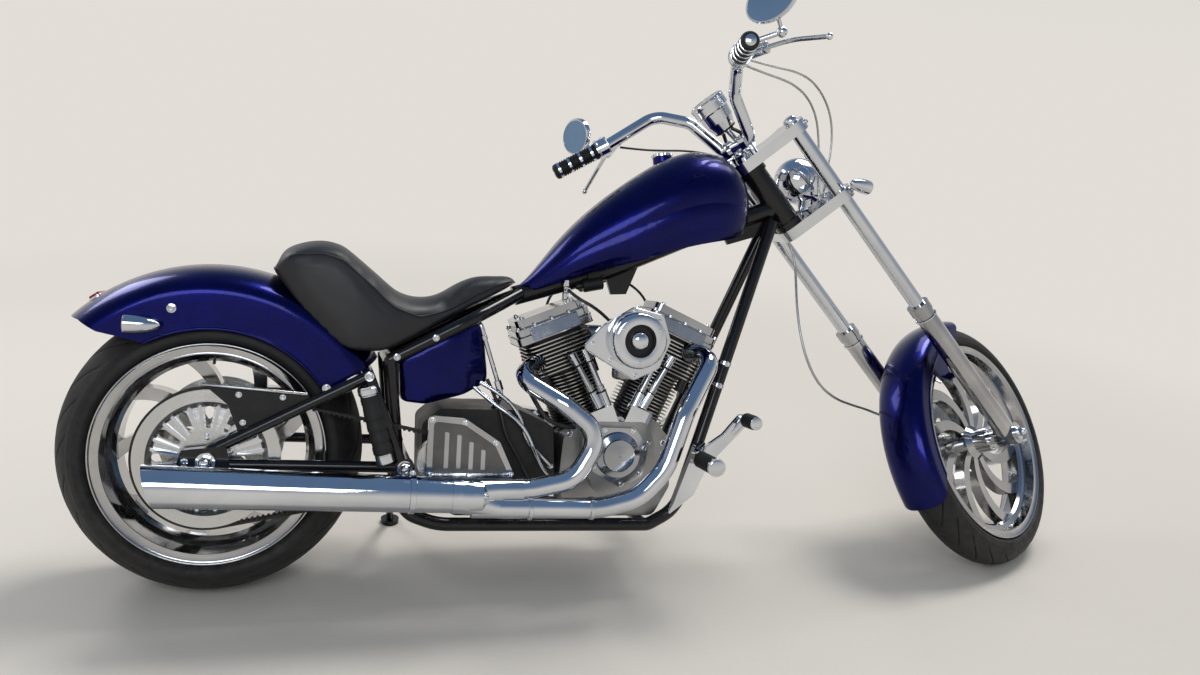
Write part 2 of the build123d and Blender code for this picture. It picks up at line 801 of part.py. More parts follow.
def front_pipe():
    """Header of the front cylinder, down beside the down tube and back."""
    points = [
        (1118, -62, 586),
        (1164, -132, 584),
        (1070, -204, 452),
        (1020, -222, 318),
        (956, -228, 252),
        (860, -230, 229),
        (560, -238, 236),
    ]
    return tube(points, [52, 110, 120, 120, 200], PIPE_RADIUS)


def rear_pipe():
    """Header of the rear cylinder, forward in a loop and back."""
    points = [
        (734, -60, 548),
        (672, -142, 522),
        (772, -208, 466),
        (858, -218, 398),
        (800, -226, 296),
        (700, -230, 276),
        (560, -238, 268),
    ]
    return tube(points, [50, 70, 58, 80, 160], PIPE_RADIUS - 1)


def exhaust_pipes():
    """Both headers, ending inside the muffler's mouth, with a bracket to the frame."""
    pipes = front_pipe() + rear_pipe()
    hanger = rod((690, -RAIL_Y, 172), (690, MUFFLER_Y + 12, 238), 7)
    for sign in (-1, 1):
        pipes = pipes - cylinder(sign) - rocker_box(sign)
    return pipes + (hanger - frame_rails()) - muffler()


# Controls and fittings
def forward_control():
    """Left foot control: bracket, peg and pedal arm."""
    out = RAIL_Y + FRAME_TUBE
    bracket = plate([(1078, 214), (1060, 182), (1130, 236), (1172, 330), (1150, 372), (1128, 360)],
                    out - 18, out + 8, 3)
    body = bracket + drum(1132, 332, out, 168, 15)
    body += drum(1132, 332, 168, 176, 22) + drum(1132, 332, 176, 262, 18) + drum(1132, 332, 262, 270, 22)
    body += tube([(1142, 158, 343), (1190, 170, 380), (1232, 188, 436)], [60], 9)
    body += drum(1232, 436, 182, 196, 12) + drum(1232, 436, 196, 258, 15)
    return body - frame_rail(1)


def passenger_peg():
    """Left passenger peg folded up against the swingarm's front post."""
    low, high = (372, 206, 330), (328, 206, 486)
    body = rod(low, high, 19) + rod(high, (324, 206, 498), 21)
    hinge = drum(370, 340, ARM_Y, 206, 10)
    post = rod((ARM_TOP_X, ARM_Y, ARM_TOP_Z), (PIVOT_X - 14, ARM_Y, PIVOT_Z + 10), ARM_TUBE)
    return body + hinge - post - swingarm()


def rear_caliper():
    """Left rear caliper, on the lower side of the left strut."""
    disc = REAR_HUB_HALF + DISC_THICK / 2
    body = plate([(92, 356), (92, 452), (150, 452), (150, 372)], disc - 24, disc + 26, 12)
    slot = drum(0, REAR_RADIUS, disc - 6, disc + 6, DISC_RADIUS + 6)
    arm = plate([(96, 366), (148, 366), (148, 420), (96, 400)], disc + 24, ARM_Y - 2, 6)
    return body - slot + arm - swingarm()


def signal_lamp():
    """Bullet turn signal that points along X, lens behind."""
    bullet = [
        Line((0, -38), (0, 32)),
        Line((0, 32), (3, 32)),
        ThreePointArc((3, 32), (15, 14), (19, -10)),
        Polyline((19, -10), (17, -38), (0, -38)),
    ]
    return Rot(0, 0, -90) * revolve(make_face(Curve() + bullet), Axis.Y)


def rear_lamps():
    """Turn signal on each side of the fender and a low tail lamp."""
    lamp = Pos(-132, 166, 612) * signal_lamp()
    stalk = drum(-126, 612, REAR_FENDER_HALF, 160, 6)
    signal = lamp + stalk
    tail = Pos(0, 0, REAR_RADIUS) * Rot(0, -127, 0) * (Pos(REAR_FENDER_RADIUS + 4, 0, 0) * Box(16, 92, 26))
    shell = fender_section(200, 352, REAR_FENDER_RADIUS, REAR_FENDER_HALF)
    tail = tail - Pos(0, 0, REAR_RADIUS) * revolve(shell, Axis.Y, 360)
    return Compound(children=[signal, mirrored(signal), tail])


def side_stand():
    """Stand leg from its eye to a foot pad that lies flat on the ground."""
    pivot = STANCE * Pos(STAND_X, STAND_Y, STAND_Z)
    foot_x = pivot.position.X + STAND_AHEAD
    foot_y = pivot.position.Y + STAND_OUT
    pad = rod((foot_x, foot_y, 0), (foot_x, foot_y, 12), 24)
    knee = stand_plane().from_local_coords(Vector(0, 62, 0))
    toe = (STANCE.inverse() * Pos(foot_x, foot_y, 14)).position
    leg = tube([(STAND_X, STAND_Y, STAND_Z), knee, toe], [40], STAND_TUBE)
    eye = stand_plane().location * rod((0, 0, -STAND_HALF), (0, 0, STAND_HALF), STAND_EYE)
    bolt = stand_plane().location * rod((0, 0, -40), (0, 0, 40), STAND_BOLT_RADIUS + RUNNING_GAP)
    return leg + eye + STANCE.inverse() * pad - bolt


# Fork and bars, in fork coordinates
def tree(low, high, ahead):
    """One triple tree: stem boss and two clamps in one plate."""
    circles = [(0, 0, NECK_RADIUS + 6), (ahead, FORK_HALF, 31), (ahead, -FORK_HALF, 31)]
    edges = [Pos(w, y) * Circle(radius).edge() for w, y, radius in circles]
    outline = make_hull(edges)
    waist = [Pos(ahead + 30, 0) * Circle(58)]
    return extrude(Pos(0, 0, low) * (outline - waist), amount=high - low)


def fork_trees():
    """Lower tree with the stem, and top tree."""
    low = tree(NECK_LOW - SIDE_GAP - TREE_THICK, NECK_LOW - SIDE_GAP, 94)
    top = tree(NECK_HIGH + SIDE_GAP, NECK_HIGH + SIDE_GAP + TREE_THICK, 91.5)
    stem = rod((0, 0, NECK_LOW - TREE_THICK), (0, 0, NECK_HIGH + TREE_THICK + 8), STEM_RADIUS)
    body = low + stem + top
    for side in (-1, 1):
        body -= rod(leg_point(0, side * FORK_HALF), leg_point(FORK_LENGTH, side * FORK_HALF), FORK_TUBE)
    return body


def fork_tubes():
    """Bright upper fork tubes with caps."""
    leg = rod(leg_point(SLIDER_LENGTH), leg_point(FORK_LENGTH), FORK_TUBE)
    cap = rod(leg_point(FORK_LENGTH), leg_point(FORK_LENGTH + 8), FORK_TUBE - 3)
    return pair(leg + cap)


def fork_slider():
    """Left lower slider with its collar and axle lug."""
    leg = rod(leg_point(-20), leg_point(SLIDER_LENGTH), FORK_SLIDER)
    collar = rod(leg_point(SLIDER_LENGTH - 26), leg_point(SLIDER_LENGTH), FORK_SLIDER + 3)
    lug = drum(FORK_AHEAD, 0, FORK_HALF - FORK_SLIDER, FORK_HALF + FORK_SLIDER, 31)
    body = leg + collar + lug
    return body - drum(FORK_AHEAD, 0, 0, 200, FRONT_AXLE_RADIUS)


def front_axle():
    """Front axle with end caps and spacers."""
    reach = FORK_HALF + FORK_SLIDER + 8
    axle = drum(FORK_AHEAD, 0, -reach, reach, FRONT_AXLE_RADIUS)
    cap = drum(FORK_AHEAD, 0, FORK_HALF + FORK_SLIDER, reach - 2, 20)
    spacer = drum(FORK_AHEAD, 0, FRONT_HUB_HALF + SIDE_GAP, FORK_HALF - FORK_SLIDER, 18)
    axle = axle + cap + mirrored(cap) + spacer + mirrored(spacer)
    return axle - drum(FORK_AHEAD, 0, -reach, -reach + AXLE_BORE_DEPTH, AXLE_BORE)


BAR_H = NECK_HIGH + SIDE_GAP + TREE_THICK + 34
BAR_HALF_PATH = [
    # w, y, h from the bar's clamp up, out and back to the grip's end
    (13, 46, BAR_H),
    (12, 80, BAR_H + 118),
    (0, 150, BAR_H + 186),
    (-130, 240, BAR_H + 206),
    (-228, 342, BAR_H + 232),
]


def handlebar():
    """Pull-back handlebar on two risers."""
    left = BAR_HALF_PATH
    right = [(w, -y, h) for w, y, h in left]
    bends = [60, 62, 46, 28]
    bar = tube(list(reversed(left)) + right, bends + list(reversed(bends)), BAR_RADIUS)
    for y in (-30, 30):
        bar += rod((13, y - 9, BAR_H), (13, y + 9, BAR_H), BAR_RADIUS + 9)
        bar += rod((13, y, NECK_HIGH + SIDE_GAP + TREE_THICK), (13, y, BAR_H), 11)
    return bar - rod((0, 0, NECK_HIGH), (0, 0, BAR_H - 20), STEM_RADIUS)


def grip_end(back=0.0):
    """Point on the left grip's axis, a distance back from the bar's end."""
    end = Vector(*BAR_HALF_PATH[-1])
    run = (Vector(*BAR_HALF_PATH[-2]) - end).normalized()
    return end + run * back


def grips():
    """Rubber grips with end caps, on the handlebar's ends."""
    sleeve = rod(grip_end(GRIP_LENGTH), grip_end(-8), GRIP_RADIUS)
    for back in (GRIP_LENGTH - 5, 66, 30, 2):
        sleeve += rod(grip_end(back + 5), grip_end(back), GRIP_RADIUS + 2.5)
    sleeve -= rod(grip_end(GRIP_LENGTH + 1), grip_end(0), BAR_RADIUS)
    return pair(sleeve)


def hand_control():
    """Left switch housing with master cylinder and lever."""
    inner = grip_end(GRIP_LENGTH + 34)
    outer = grip_end(GRIP_LENGTH)
    clamp = rod(inner, outer, BAR_RADIUS + 9)
    perch = grip_end(GRIP_LENGTH + 20)
    front = perch + Vector(44, 10, -14)
    reservoir = rod(front + Vector(0, -24, 4), front + Vector(0, 34, -8), 14)
    tip = front + Vector(-5, 176, -63)
    lever = tube([front + Vector(4, 22, -6), front + Vector(14, 86, -26), tip], [150], 5.5)
    knob = Pos(*tip) * Sphere(8)
    body = clamp + rod(perch, front, 11) + reservoir + lever + knob
    bar = handlebar()
    return body - bar


def mirror_arm():
    """Left mirror on its stem, above the controls."""
    base = grip_end(GRIP_LENGTH + 20) + Vector(20, 6, 16)
    ball_centre = Vector(-73, 330, BAR_H + 193)
    top = Vector(-64, 352, BAR_H + 263)
    stem = rod(base, ball_centre, 6) + rod(ball_centre, top, 5)
    ball = Pos(*ball_centre) * Sphere(MIRROR_BALL)
    head = Ellipse(MIRROR_LONG, MIRROR_SHORT)
    facing = Vector(-0.86, 0.22, 0.46)
    face = Plane(origin=top + facing * 2, x_dir=(0.25, 0.97, 0), z_dir=facing)
    glass = extrude(face * head, amount=10)
    return stem + ball + glass - handlebar() - hand_control()


def headlight():
    """Bullet headlamp on a short bracket above the lower tree, in fork coordinates."""
    bullet = [
        Line((0, -84), (0, 74)),
        Line((0, 74), (12, 74)),
        ThreePointArc((12, 74), (46, 56), (62, 20)),
        Polyline((62, 20), (66, -40), (71, -48), (71, -66), (62, -72)),
        ThreePointArc((62, -72), (34, -81), (10, -84)),
        Line((10, -84), (0, -84)),
    ]
    shell = revolve(make_face(Curve() + bullet), Axis.Y)
    shell = Pos(158, 0, 932) * Rot(0, RAKE, 0) * Rot(0, 0, 90) * shell
    post = rod((58, 0, NECK_LOW - 12), (144, 0, 900), 11)
    return shell + post - fork_trees()


def front_signal():
    """Left turn signal on a stalk from the lower tree's end."""
    lamp = Pos(96, 178, 868) * Rot(0, RAKE, 0) * Rot(0, 0, 180) * signal_lamp()
    return lamp + rod((94, 144, 865), (96, 168, 867), 6) - fork_trees()


def front_lamps():
    """Headlamp and the two front turn signals."""
    signal = front_signal()
    return Compound(children=[headlight(), signal, mirrored(signal)])


def speedometer():
    """Tapered cup whose dial faces up along the steering axis, on a bracket from the risers."""
    cup = [
        # radius, height
        (0, 0),
        (20, 0),
        (28, 5),
        (39, 34),
        (42, 62),
        (DIAL_RADIUS, 66),
        (DIAL_RADIUS, 88),
        (DIAL_RADIUS - 5, 91),
        (0, 91),
    ]
    body = Pos(12, 0, BAR_H + 50) * Rot(90, 0, 0) * spool(cup)
    post = rod((26, 0, BAR_H + 6), (16, 0, BAR_H + 54), 7)
    return body + post - handlebar()


def front_caliper():
    """Left front caliper behind the fork leg."""
    disc = FRONT_HUB_HALF + DISC_THICK / 2
    points = [(-96, 66), (-40, 60), (-24, 96), (-40, 158), (-84, 158), (-104, 110)]
    body = plate(points, disc - 20, disc + 24, 12)
    slot = drum(0, 0, disc - 6, disc + 6, DISC_RADIUS + 6)
    arm = plate([(-60, 84), (-10, 92), (-10, 122), (-60, 128)], disc + 18, FORK_HALF - 4, 4)
    body = Pos(FORK_AHEAD, 0, 0) * (body - slot + arm)
    return body - rod(leg_point(0), leg_point(400), FORK_SLIDER)


def brake_hose():
    """Hose from the lower tree, round behind the legs, to the left caliper."""
    points = [
        (20, 44, NECK_LOW - SIDE_GAP - TREE_THICK + 2),
        (8, 52, 790),
        (-38, 60, 744),
        (-92, 66, 698),
        (-146, 72, 640),
        (-186, 78, 572),
        (-196, 84, 500),
        (-168, 90, 432),
        (-122, 94, 372),
        (-72, 98, 314),
        (-30, 100, 256),
        (6, 96, 204),
        (42, 86, 152),
    ]
    bends = arc_radii(points)
    print("brake hose radii", [round(r) for r in bends])
    return tube(points, bends, 3.5) - front_caliper() - fork_trees()


def control_cables():
    """Pair of throttle cables and the clutch cable, from the hand controls to the lower tree."""
    start = grip_end(GRIP_LENGTH + 30)
    landing = NECK_LOW - SIDE_GAP
    outer = [
        # w, y, h
        (start.X + 30, start.Y - 2, start.Z - 20),
        (-42, 230, BAR_H + 150),
        (22, 222, BAR_H + 112),
        (98, 208, BAR_H + 74),
        (168, 194, BAR_H + 22),
        (212, 172, BAR_H - 46),
        (224, 144, BAR_H - 112),
        (202, 112, BAR_H - 170),
        (152, 86, BAR_H - 212),
        (98, 70, landing),
    ]
    inner = [
        # w, y, h
        (start.X + 24, start.Y - 14, start.Z - 26),
        (-44, 216, BAR_H + 134),
        (16, 208, BAR_H + 94),
        (82, 194, BAR_H + 50),
        (138, 174, BAR_H - 4),
        (168, 148, BAR_H - 62),
        (172, 118, BAR_H - 116),
        (152, 92, BAR_H - 166),
        (116, 74, BAR_H - 208),
        (84, 62, landing),
    ]
    trim = fork_trees() + pair_union(hand_control())
    cables = []
    for route, side in ((outer, -1), (inner, -1), (inner, 1)):
        points = [(w, side * y, h) for w, y, h in route]
        bends = arc_radii(points)
        print("cable radii", [round(r) for r in bends])
        cable = tube(points, bends, 3.0) - trim
        cables.append(cable.solids().sort_by(SortBy.VOLUME)[-1])
    return Compound(children=cables)


def pair_union(solid):
    """A piece and its mirror image as one cutter."""
    return solid + mirrored(solid)


def arc_radii(points):
    """Largest tangent arc for each corner of a hose's route."""
    radii = []
    for a, b, c in zip(points, points[1:], points[2:]):
        before = Vector(*b) - Vector(*a)
        after = Vector(*c) - Vector(*b)
        turn = math.radians(before.get_angle(after))
        radii.append(0.45 * min(before.length, after.length) / math.tan(turn / 2))
    return radii


# Assembly
def lean_location(pitch):
    """Leaned to the left and pitched, before it is set on the ground."""
    return Rot(0, pitch, 0) * Rot(-LEAN, 0, 0)


def lowest(location, centre, axle, radius, crown):
    """Height of a leaned tyre's contact point."""
    start = location * Pos(*centre)
    end = location * Pos(*(centre + axle))
    tilt = (end.position - start.position).Z
    return start.position.Z - (radius - crown) * math.sqrt(1 - tilt ** 2) - crown


def stance():
    """Location that sets both tyres on the ground."""
    turned_fork = FORK.location * Rot(0, 0, STEER_STOP)
    hub = (turned_fork * Pos(FORK_AHEAD, 0, 0)).position
    end = (turned_fork * Pos(FORK_AHEAD, 1, 0)).position
    pitch = 0.0
    for _ in range(12):
        location = lean_location(pitch)
        rear = lowest(location, Vector(0, 0, REAR_RADIUS), Vector(0, 1, 0), REAR_RADIUS, REAR_CROWN)
        front = lowest(location, hub, end - hub, FRONT_RADIUS, FRONT_CROWN)
        pitch += math.degrees((front - rear) / WHEELBASE)
    return Pos(0, 0, -rear) * lean_location(pitch)


STANCE = stance()


def build_pieces():
    """Every piece with its frame: bike pieces upright, fork pieces in fork coordinates."""
    rear_rim = rim(REAR_FLANGE, REAR_BEAD, REAR_RIM_HALF, REAR_WELL, 20)
    front_rim = rim(FRONT_FLANGE, FRONT_BEAD, FRONT_RIM_HALF, FRONT_WELL, 16)
    rear_wheel = billet_wheel(rear_rim, REAR_WELL, REAR_SPOKES, 24, 60, REAR_HUB_HALF, REAR_AXLE_RADIUS)
    front_wheel = billet_wheel(front_rim, FRONT_WELL, FRONT_SPOKES, 34, 30, FRONT_HUB_HALF, FRONT_AXLE_RADIUS)
    rear_tyre = tyre(REAR_RADIUS, REAR_CROWN, REAR_CROWN_HALF, REAR_HALF_WIDTH, REAR_FLANGE, REAR_BEAD, REAR_RIM_HALF)
    front_tyre = tyre(FRONT_RADIUS, FRONT_CROWN, 50, 59, FRONT_FLANGE, FRONT_BEAD, FRONT_RIM_HALF)
    at_rear = Pos(0, 0, REAR_RADIUS)
    at_front = Pos(FORK_AHEAD, 0, 0)
    bike = {
        "frame_spine": frame_spine(),
        "frame_rails": frame_rails() - frame_spine(),
        "swingarm": swingarm(),
        "rear_axle": rear_axle(),
        "belt_guard": belt_guard(),
        "drive_belt": drive_belt(),
        "gearbox_pulley": gearbox_pulley(),
        "rear_fender": rear_fender(),
        "fuel_tank": fuel_tank(),
        "oil_tank": oil_tank(),
        "seat": seat(),
        "crankcase": crankcase(),
        "cylinders": cylinder(1) + cylinder(-1),
        "rocker_boxes": Compound(children=[rocker_box(1), rocker_box(-1)]),
        "pushrod_tubes": pushrod_tubes(),
        "cam_cover": cam_cover(),
        "intake": intake(),
        "air_cleaner": air_cleaner(),
        "gearbox": gearbox(),
        "gear_cover": gear_cover(),
        "primary_cover": primary_cover(),
        "muffler": muffler(),
        "exhaust_pipes": exhaust_pipes(),
        "foot_controls": Compound(children=[pair(forward_control()), pair(passenger_peg())]),
        "rear_caliper": rear_caliper(),
        "rear_lamps": rear_lamps(),
        "side_stand": side_stand(),
        "rear_wheel": at_rear * rear_wheel,
        "rear_tyre": at_rear * rear_tyre,
        "rear_pulley": at_rear * rear_pulley(),
        "rear_disc": at_rear * brake_disc(REAR_HUB_HALF, 1, 26),
    }
    fork = {
        "fork_trees": fork_trees(),
        "fork_tubes": fork_tubes(),
        "fork_sliders": pair(fork_slider()),
        "front_axle": front_axle(),
        "handlebar": handlebar(),
        "grips": grips(),
        "hand_controls": pair(hand_control()),
        "mirrors": pair(mirror_arm()),
        "front_lamps": front_lamps(),
        "speedometer": speedometer(),
        "front_fender": front_fender(),
        "front_caliper": front_caliper(),
        "brake_hose": brake_hose(),
        "control_cables": control_cables(),
        "front_wheel": at_front * front_wheel,
        "front_tyre": at_front * front_tyre,
        "front_disc": at_front * brake_disc(FRONT_HUB_HALF, 1, 26),
    }
    return bike, fork


def main():
    bike, fork = build_pieces()
    steered = STANCE * FORK.location * Rot(0, 0, STEER_STOP)
    placed = {name: STANCE * shape for name, shape in bike.items()}
    placed.update({name: steered * shape for name, shape in fork.items()})
    box = Compound(children=list(placed.values())).bounding_box()
    centre = Pos(-box.center().X, -box.center().Y, -box.min.Z)
    os.makedirs("parts", exist_ok=True)
    for name, shape in placed.items():
        solids = shape.solids()
        print(name, len(solids), round(sum(solid.volume for solid in solids) / 1000), "cm3")
        piece = solids[0] if len(solids) == 1 else Compound(children=solids)
        export_step(centre * piece, f"parts/{name}.step")
    report(centre * STANCE, centre * steered, box)


def report(upright, steered, box):
    """Print the places that the joints and mounts use, in metres."""
    def show(name, location, point, axis):
        start = (location * Pos(*point)).position
        end = (location * Pos(*(Vector(*point) + Vector(*axis)))).position
        run = end - start
        print(name, [round(v / 1000, 6) for v in start], [round(v, 6) for v in run])

    print("size", [round(v / 1000, 4) for v in box.size])
    show("rear_wheel_spin", upright, (0, 0, REAR_RADIUS), (0, 1, 0))
    show("front_wheel_spin", steered, (FORK_AHEAD, 0, 0), (0, 1, 0))
    show("steering", steered, (0, 0, NECK_LOW), (0, 0, 1))
    show("side_stand", upright, (STAND_X, STAND_Y, STAND_Z), stand_plane().z_dir)
    show("rear_axle_bore", upright, (0, ARM_END_Y + 12, REAR_RADIUS), (0, 1, 0))
    show("front_axle_bore", steered, (FORK_AHEAD, -FORK_HALF - FORK_SLIDER - 8, 0), (0, -1, 0))


main()
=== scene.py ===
"""Looks of the chopper motorcycle: finishes, treaded tyres, padded seat, engine detail and studio."""
import json
import math

import bmesh
import bpy
from mathutils import Matrix, Vector
from mathutils.bvhtree import BVHTree


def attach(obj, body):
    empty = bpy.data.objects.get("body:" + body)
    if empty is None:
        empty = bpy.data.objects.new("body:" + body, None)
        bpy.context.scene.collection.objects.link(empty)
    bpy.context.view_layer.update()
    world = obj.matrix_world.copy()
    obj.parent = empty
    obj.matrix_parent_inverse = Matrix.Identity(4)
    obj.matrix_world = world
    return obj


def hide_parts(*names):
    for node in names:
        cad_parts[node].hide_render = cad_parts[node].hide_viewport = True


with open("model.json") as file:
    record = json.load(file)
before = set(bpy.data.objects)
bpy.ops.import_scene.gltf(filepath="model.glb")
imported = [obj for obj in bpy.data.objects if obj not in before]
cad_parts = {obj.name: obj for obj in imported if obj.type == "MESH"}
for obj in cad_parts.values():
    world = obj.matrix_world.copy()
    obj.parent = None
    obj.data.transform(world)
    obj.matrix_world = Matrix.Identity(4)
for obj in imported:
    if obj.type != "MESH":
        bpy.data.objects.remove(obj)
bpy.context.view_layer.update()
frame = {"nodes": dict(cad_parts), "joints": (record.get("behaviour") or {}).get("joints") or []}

# Photograph's camera, in upright machine coordinates (metres, degrees)
PHOTO_WIDTH = 1200.0
SENSOR_WIDTH = 36.0
FOCAL_PIXELS = 967.0
CAMERA_PLACE = (0.2318, -2.3589, 0.7617)
CAMERA_YAW = 15.92
CAMERA_PITCH = 3.5
CAMERA_ROLL = 3.24

# Sizes shared with the CAD model (millimetres from here on)
REAR_RADIUS = 328.0
FRONT_RADIUS = 350.0
FORK_AHEAD = 106.0
FORK_HALF = 120.6
RAKE = math.radians(42.16)
BAR_H = 1132.3
TO_METRES = Matrix.Scale(0.001, 4)


# Coordinates
def joint(name):
    """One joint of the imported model."""
    return next(j for j in frame["joints"] if j["name"] == name)


def axes(x, y, z, origin):
    """Matrix with these axes and origin."""
    turn_to = Matrix((x, y, z)).transposed().to_4x4()
    return Matrix.Translation(origin) @ turn_to


LEFT = Vector((0, 1, 0))
RIGHT = Vector((0, -1, 0))
UP = Vector((0, 0, 1))


def machine_matrix():
    """From upright machine coordinates in metres to the leaning machine."""
    hub = joint("rear_wheel_spin")
    y = Vector(hub["axis"]).normalized()
    x = y.cross(LEFT).normalized()
    z = x.cross(y)
    return axes(x, y, z, Vector(hub["pos_m"]) - 0.001 * REAR_RADIUS * z)


def fork_matrix():
    """From fork coordinates in metres to the leaning machine with its fork turned."""
    hub = joint("front_wheel_spin")
    y = Vector(hub["axis"]).normalized()
    z = Vector(joint("steering")["axis"]).normalized()
    x = y.cross(z).normalized()
    return axes(x, y, z, Vector(hub["pos_m"]) - 0.001 * FORK_AHEAD * x)


MACHINE = machine_matrix()
FORK = fork_matrix()
BIKE = MACHINE @ TO_METRES
STEER = FORK @ TO_METRES
REAR_HUB = BIKE @ Matrix.Translation((0, 0, REAR_RADIUS))
FRONT_HUB = STEER @ Matrix.Translation((FORK_AHEAD, 0, 0))
# Outline coordinates (forward, up, left) to (forward, left, up)
SIDE_ON = Matrix(((1, 0, 0, 0), (0, 0, 1, 0), (0, 1, 0, 0), (0, 0, 0, 1)))
# Forward and down to the ground's level in fork coordinates
AHEAD = Vector((math.cos(RAKE), 0, -math.sin(RAKE)))


# Camera
def photo_camera():
    """Camera at the photograph's place, looking the same way."""
    yaw, pitch, roll = (math.radians(a) for a in (CAMERA_YAW, CAMERA_PITCH, CAMERA_ROLL))
    ahead = Vector((math.sin(yaw) * math.cos(pitch), math.cos(yaw) * math.cos(pitch), -math.sin(pitch)))
    across = Vector((math.cos(yaw), -math.sin(yaw), 0))
    above = across.cross(ahead)
    right = across * math.cos(roll) + above * math.sin(roll)
    up = above * math.cos(roll) - across * math.sin(roll)
    data = bpy.data.cameras.new("photo_camera")
    data.sensor_width = SENSOR_WIDTH
    data.lens = SENSOR_WIDTH * FOCAL_PIXELS / PHOTO_WIDTH
    data.clip_end = 200
    camera = link(bpy.data.objects.new("photo_camera", data))
    camera.matrix_world = MACHINE @ axes(right, up, -ahead, Vector(CAMERA_PLACE))
    bpy.context.scene.camera = camera


# Shader nodes
class Bench:
    """Adds and links nodes in one tree."""

    def __init__(self, tree):
        self.tree = tree

    def fill(self, sockets, values):
        """Link or set some sockets of a node."""
        for name, value in values.items():
            if isinstance(value, bpy.types.NodeSocket):
                self.tree.links.new(value, sockets[name])
            else:
                sockets[name].default_value = value

    def add(self, kind, values=None, **settings):
        """New node with its settings, and its sockets filled or linked."""
        node = self.tree.nodes.new(f"ShaderNode{kind}")
        for name, value in settings.items():
            setattr(node, name, value)
        self.fill(node.inputs, values or {})
        return node

    def place(self):
        """Place on the object."""
        return self.add("TexCoord").outputs["Object"]

    def noise(self, **values):
        """Noise from 0 to 1."""
        return self.add("TexNoise", values).outputs["Fac"]

    def ramp(self, value, low, high, start=0.0, end=1.0, kind="LINEAR"):
        """Value between two limits, spread from a start to an end."""
        limits = {"Value": value, "From Min": low, "From Max": high, "To Min": start, "To Max": end}
        return self.add("MapRange", limits, interpolation_type=kind).outputs["Result"]

    def mix(self, share, low, high):
        """Colour between two colours."""
        return self.add("Mix", {0: share, 6: low, 7: high}, data_type="RGBA").outputs[2]

    def blend(self, share, low, high):
        """Value between two values."""
        return self.add("Mix", {0: share, 2: low, 3: high}, data_type="FLOAT").outputs[0]

    def sum(self, kind, *values):
        """One step of arithmetic."""
        return self.add("Math", dict(enumerate(values)), operation=kind).outputs[0]

    def group(self, tree, **values):
        """Outputs of a node group, with an underscore for each space in its sockets' names."""
        sockets = {name.replace("_", " "): value for name, value in values.items()}
        return self.add("Group", sockets, node_tree=tree).outputs

    def bump(self, height, strength, distance):
        """Normal raised by a height."""
        values = {"Height": height, "Strength": strength, "Distance": distance}
        return self.add("Bump", values).outputs["Normal"]


def effect(name, inputs, outputs):
    """New node group with named sockets, its bench, its start and its end."""
    group = bpy.data.node_groups.new(name, "ShaderNodeTree")
    for label, default in inputs.items():
        kind = "Color" if isinstance(default, tuple) else "Float"
        socket = group.interface.new_socket(name=label, in_out="INPUT", socket_type=f"NodeSocket{kind}")
        socket.default_value = default
    for label in outputs:
        kind = "Color" if label == "Color" else "Float"
        group.interface.new_socket(name=label, in_out="OUTPUT", socket_type=f"NodeSocket{kind}")
    given, made = group.nodes.new("NodeGroupInput"), group.nodes.new("NodeGroupOutput")
    return group, Bench(group), given.outputs, made.inputs


def tone_drift():
    """Slow change between two tones over the surface."""
    tones = {"Tone": (0.5, 0.5, 0.5, 1), "Other Tone": (0.4, 0.4, 0.4, 1), "Scale": 8.0}
    group, bench, given, made = effect("tone_drift", tones, ["Color"])
    cloud = bench.noise(Vector=bench.place(), Scale=given["Scale"], Detail=3.0)
    share = bench.ramp(cloud, 0.35, 0.65)
    bench.fill(made, {"Color": bench.mix(share, given["Tone"], given["Other Tone"])})
    return group


def polish_marks():
    """Roughness of a polished surface with wiped smudges."""
    amounts = {"Polish": 0.05, "Marks": 0.1, "Scale": 14.0}
    group, bench, given, made = effect("polish_marks", amounts, ["Roughness"])
    smudge = bench.noise(Vector=bench.place(), Scale=given["Scale"], Detail=5.0, Distortion=0.6)
    extra = bench.sum("MULTIPLY", bench.ramp(smudge, 0.42, 0.78), given["Marks"])
    bench.fill(made, {"Roughness": bench.sum("ADD", given["Polish"], extra)})
    return group


def surface_grain():
    """Raised grain: rounded cells with fine noise over them."""
    group, bench, given, made = effect("surface_grain", {"Scale": 400.0, "Cells": 0.5}, ["Height"])
    place = bench.place()
    noise = bench.noise(Vector=place, Scale=given["Scale"], Detail=4.0)
    cells = bench.add("TexVoronoi", {"Vector": place, "Scale": given["Scale"]}, feature="SMOOTH_F1")
    inverse = bench.sum("SUBTRACT", 1.0, cells.outputs["Distance"])
    bench.fill(made, {"Height": bench.blend(given["Cells"], noise, inverse)})
    return group


def road_dust():
    """Thin dust that lies on upward faces and low on the machine."""
    surface = {"Color": (0.5, 0.5, 0.5, 1), "Roughness": 0.3}
    dust = {"Dust Tone": (0.36, 0.32, 0.27, 1), "Amount": 0.2}
    group, bench, given, made = effect("road_dust", surface | dust, ["Color", "Roughness"])
    place = bench.place()
    speck = bench.ramp(bench.noise(Vector=place, Scale=46.0, Detail=7.0, Roughness=0.66), 0.40, 0.70)
    height = bench.add("SeparateXYZ", {"Vector": place}).outputs["Z"]
    facing = bench.add("SeparateXYZ", {"Vector": bench.add("NewGeometry").outputs["Normal"]}).outputs["Z"]
    share = bench.sum("MULTIPLY", speck, bench.ramp(height, 0.55, 0.05, start=0.35))
    share = bench.sum("MULTIPLY", share, bench.ramp(facing, -0.4, 0.9, start=0.25))
    share = bench.sum("MULTIPLY", share, given["Amount"])
    colour = bench.mix(share, given["Color"], given["Dust Tone"])
    bench.fill(made, {"Color": colour, "Roughness": bench.blend(share, given["Roughness"], 0.85)})
    return group


TONES, POLISH, GRAIN, DUST = tone_drift(), polish_marks(), surface_grain(), road_dust()

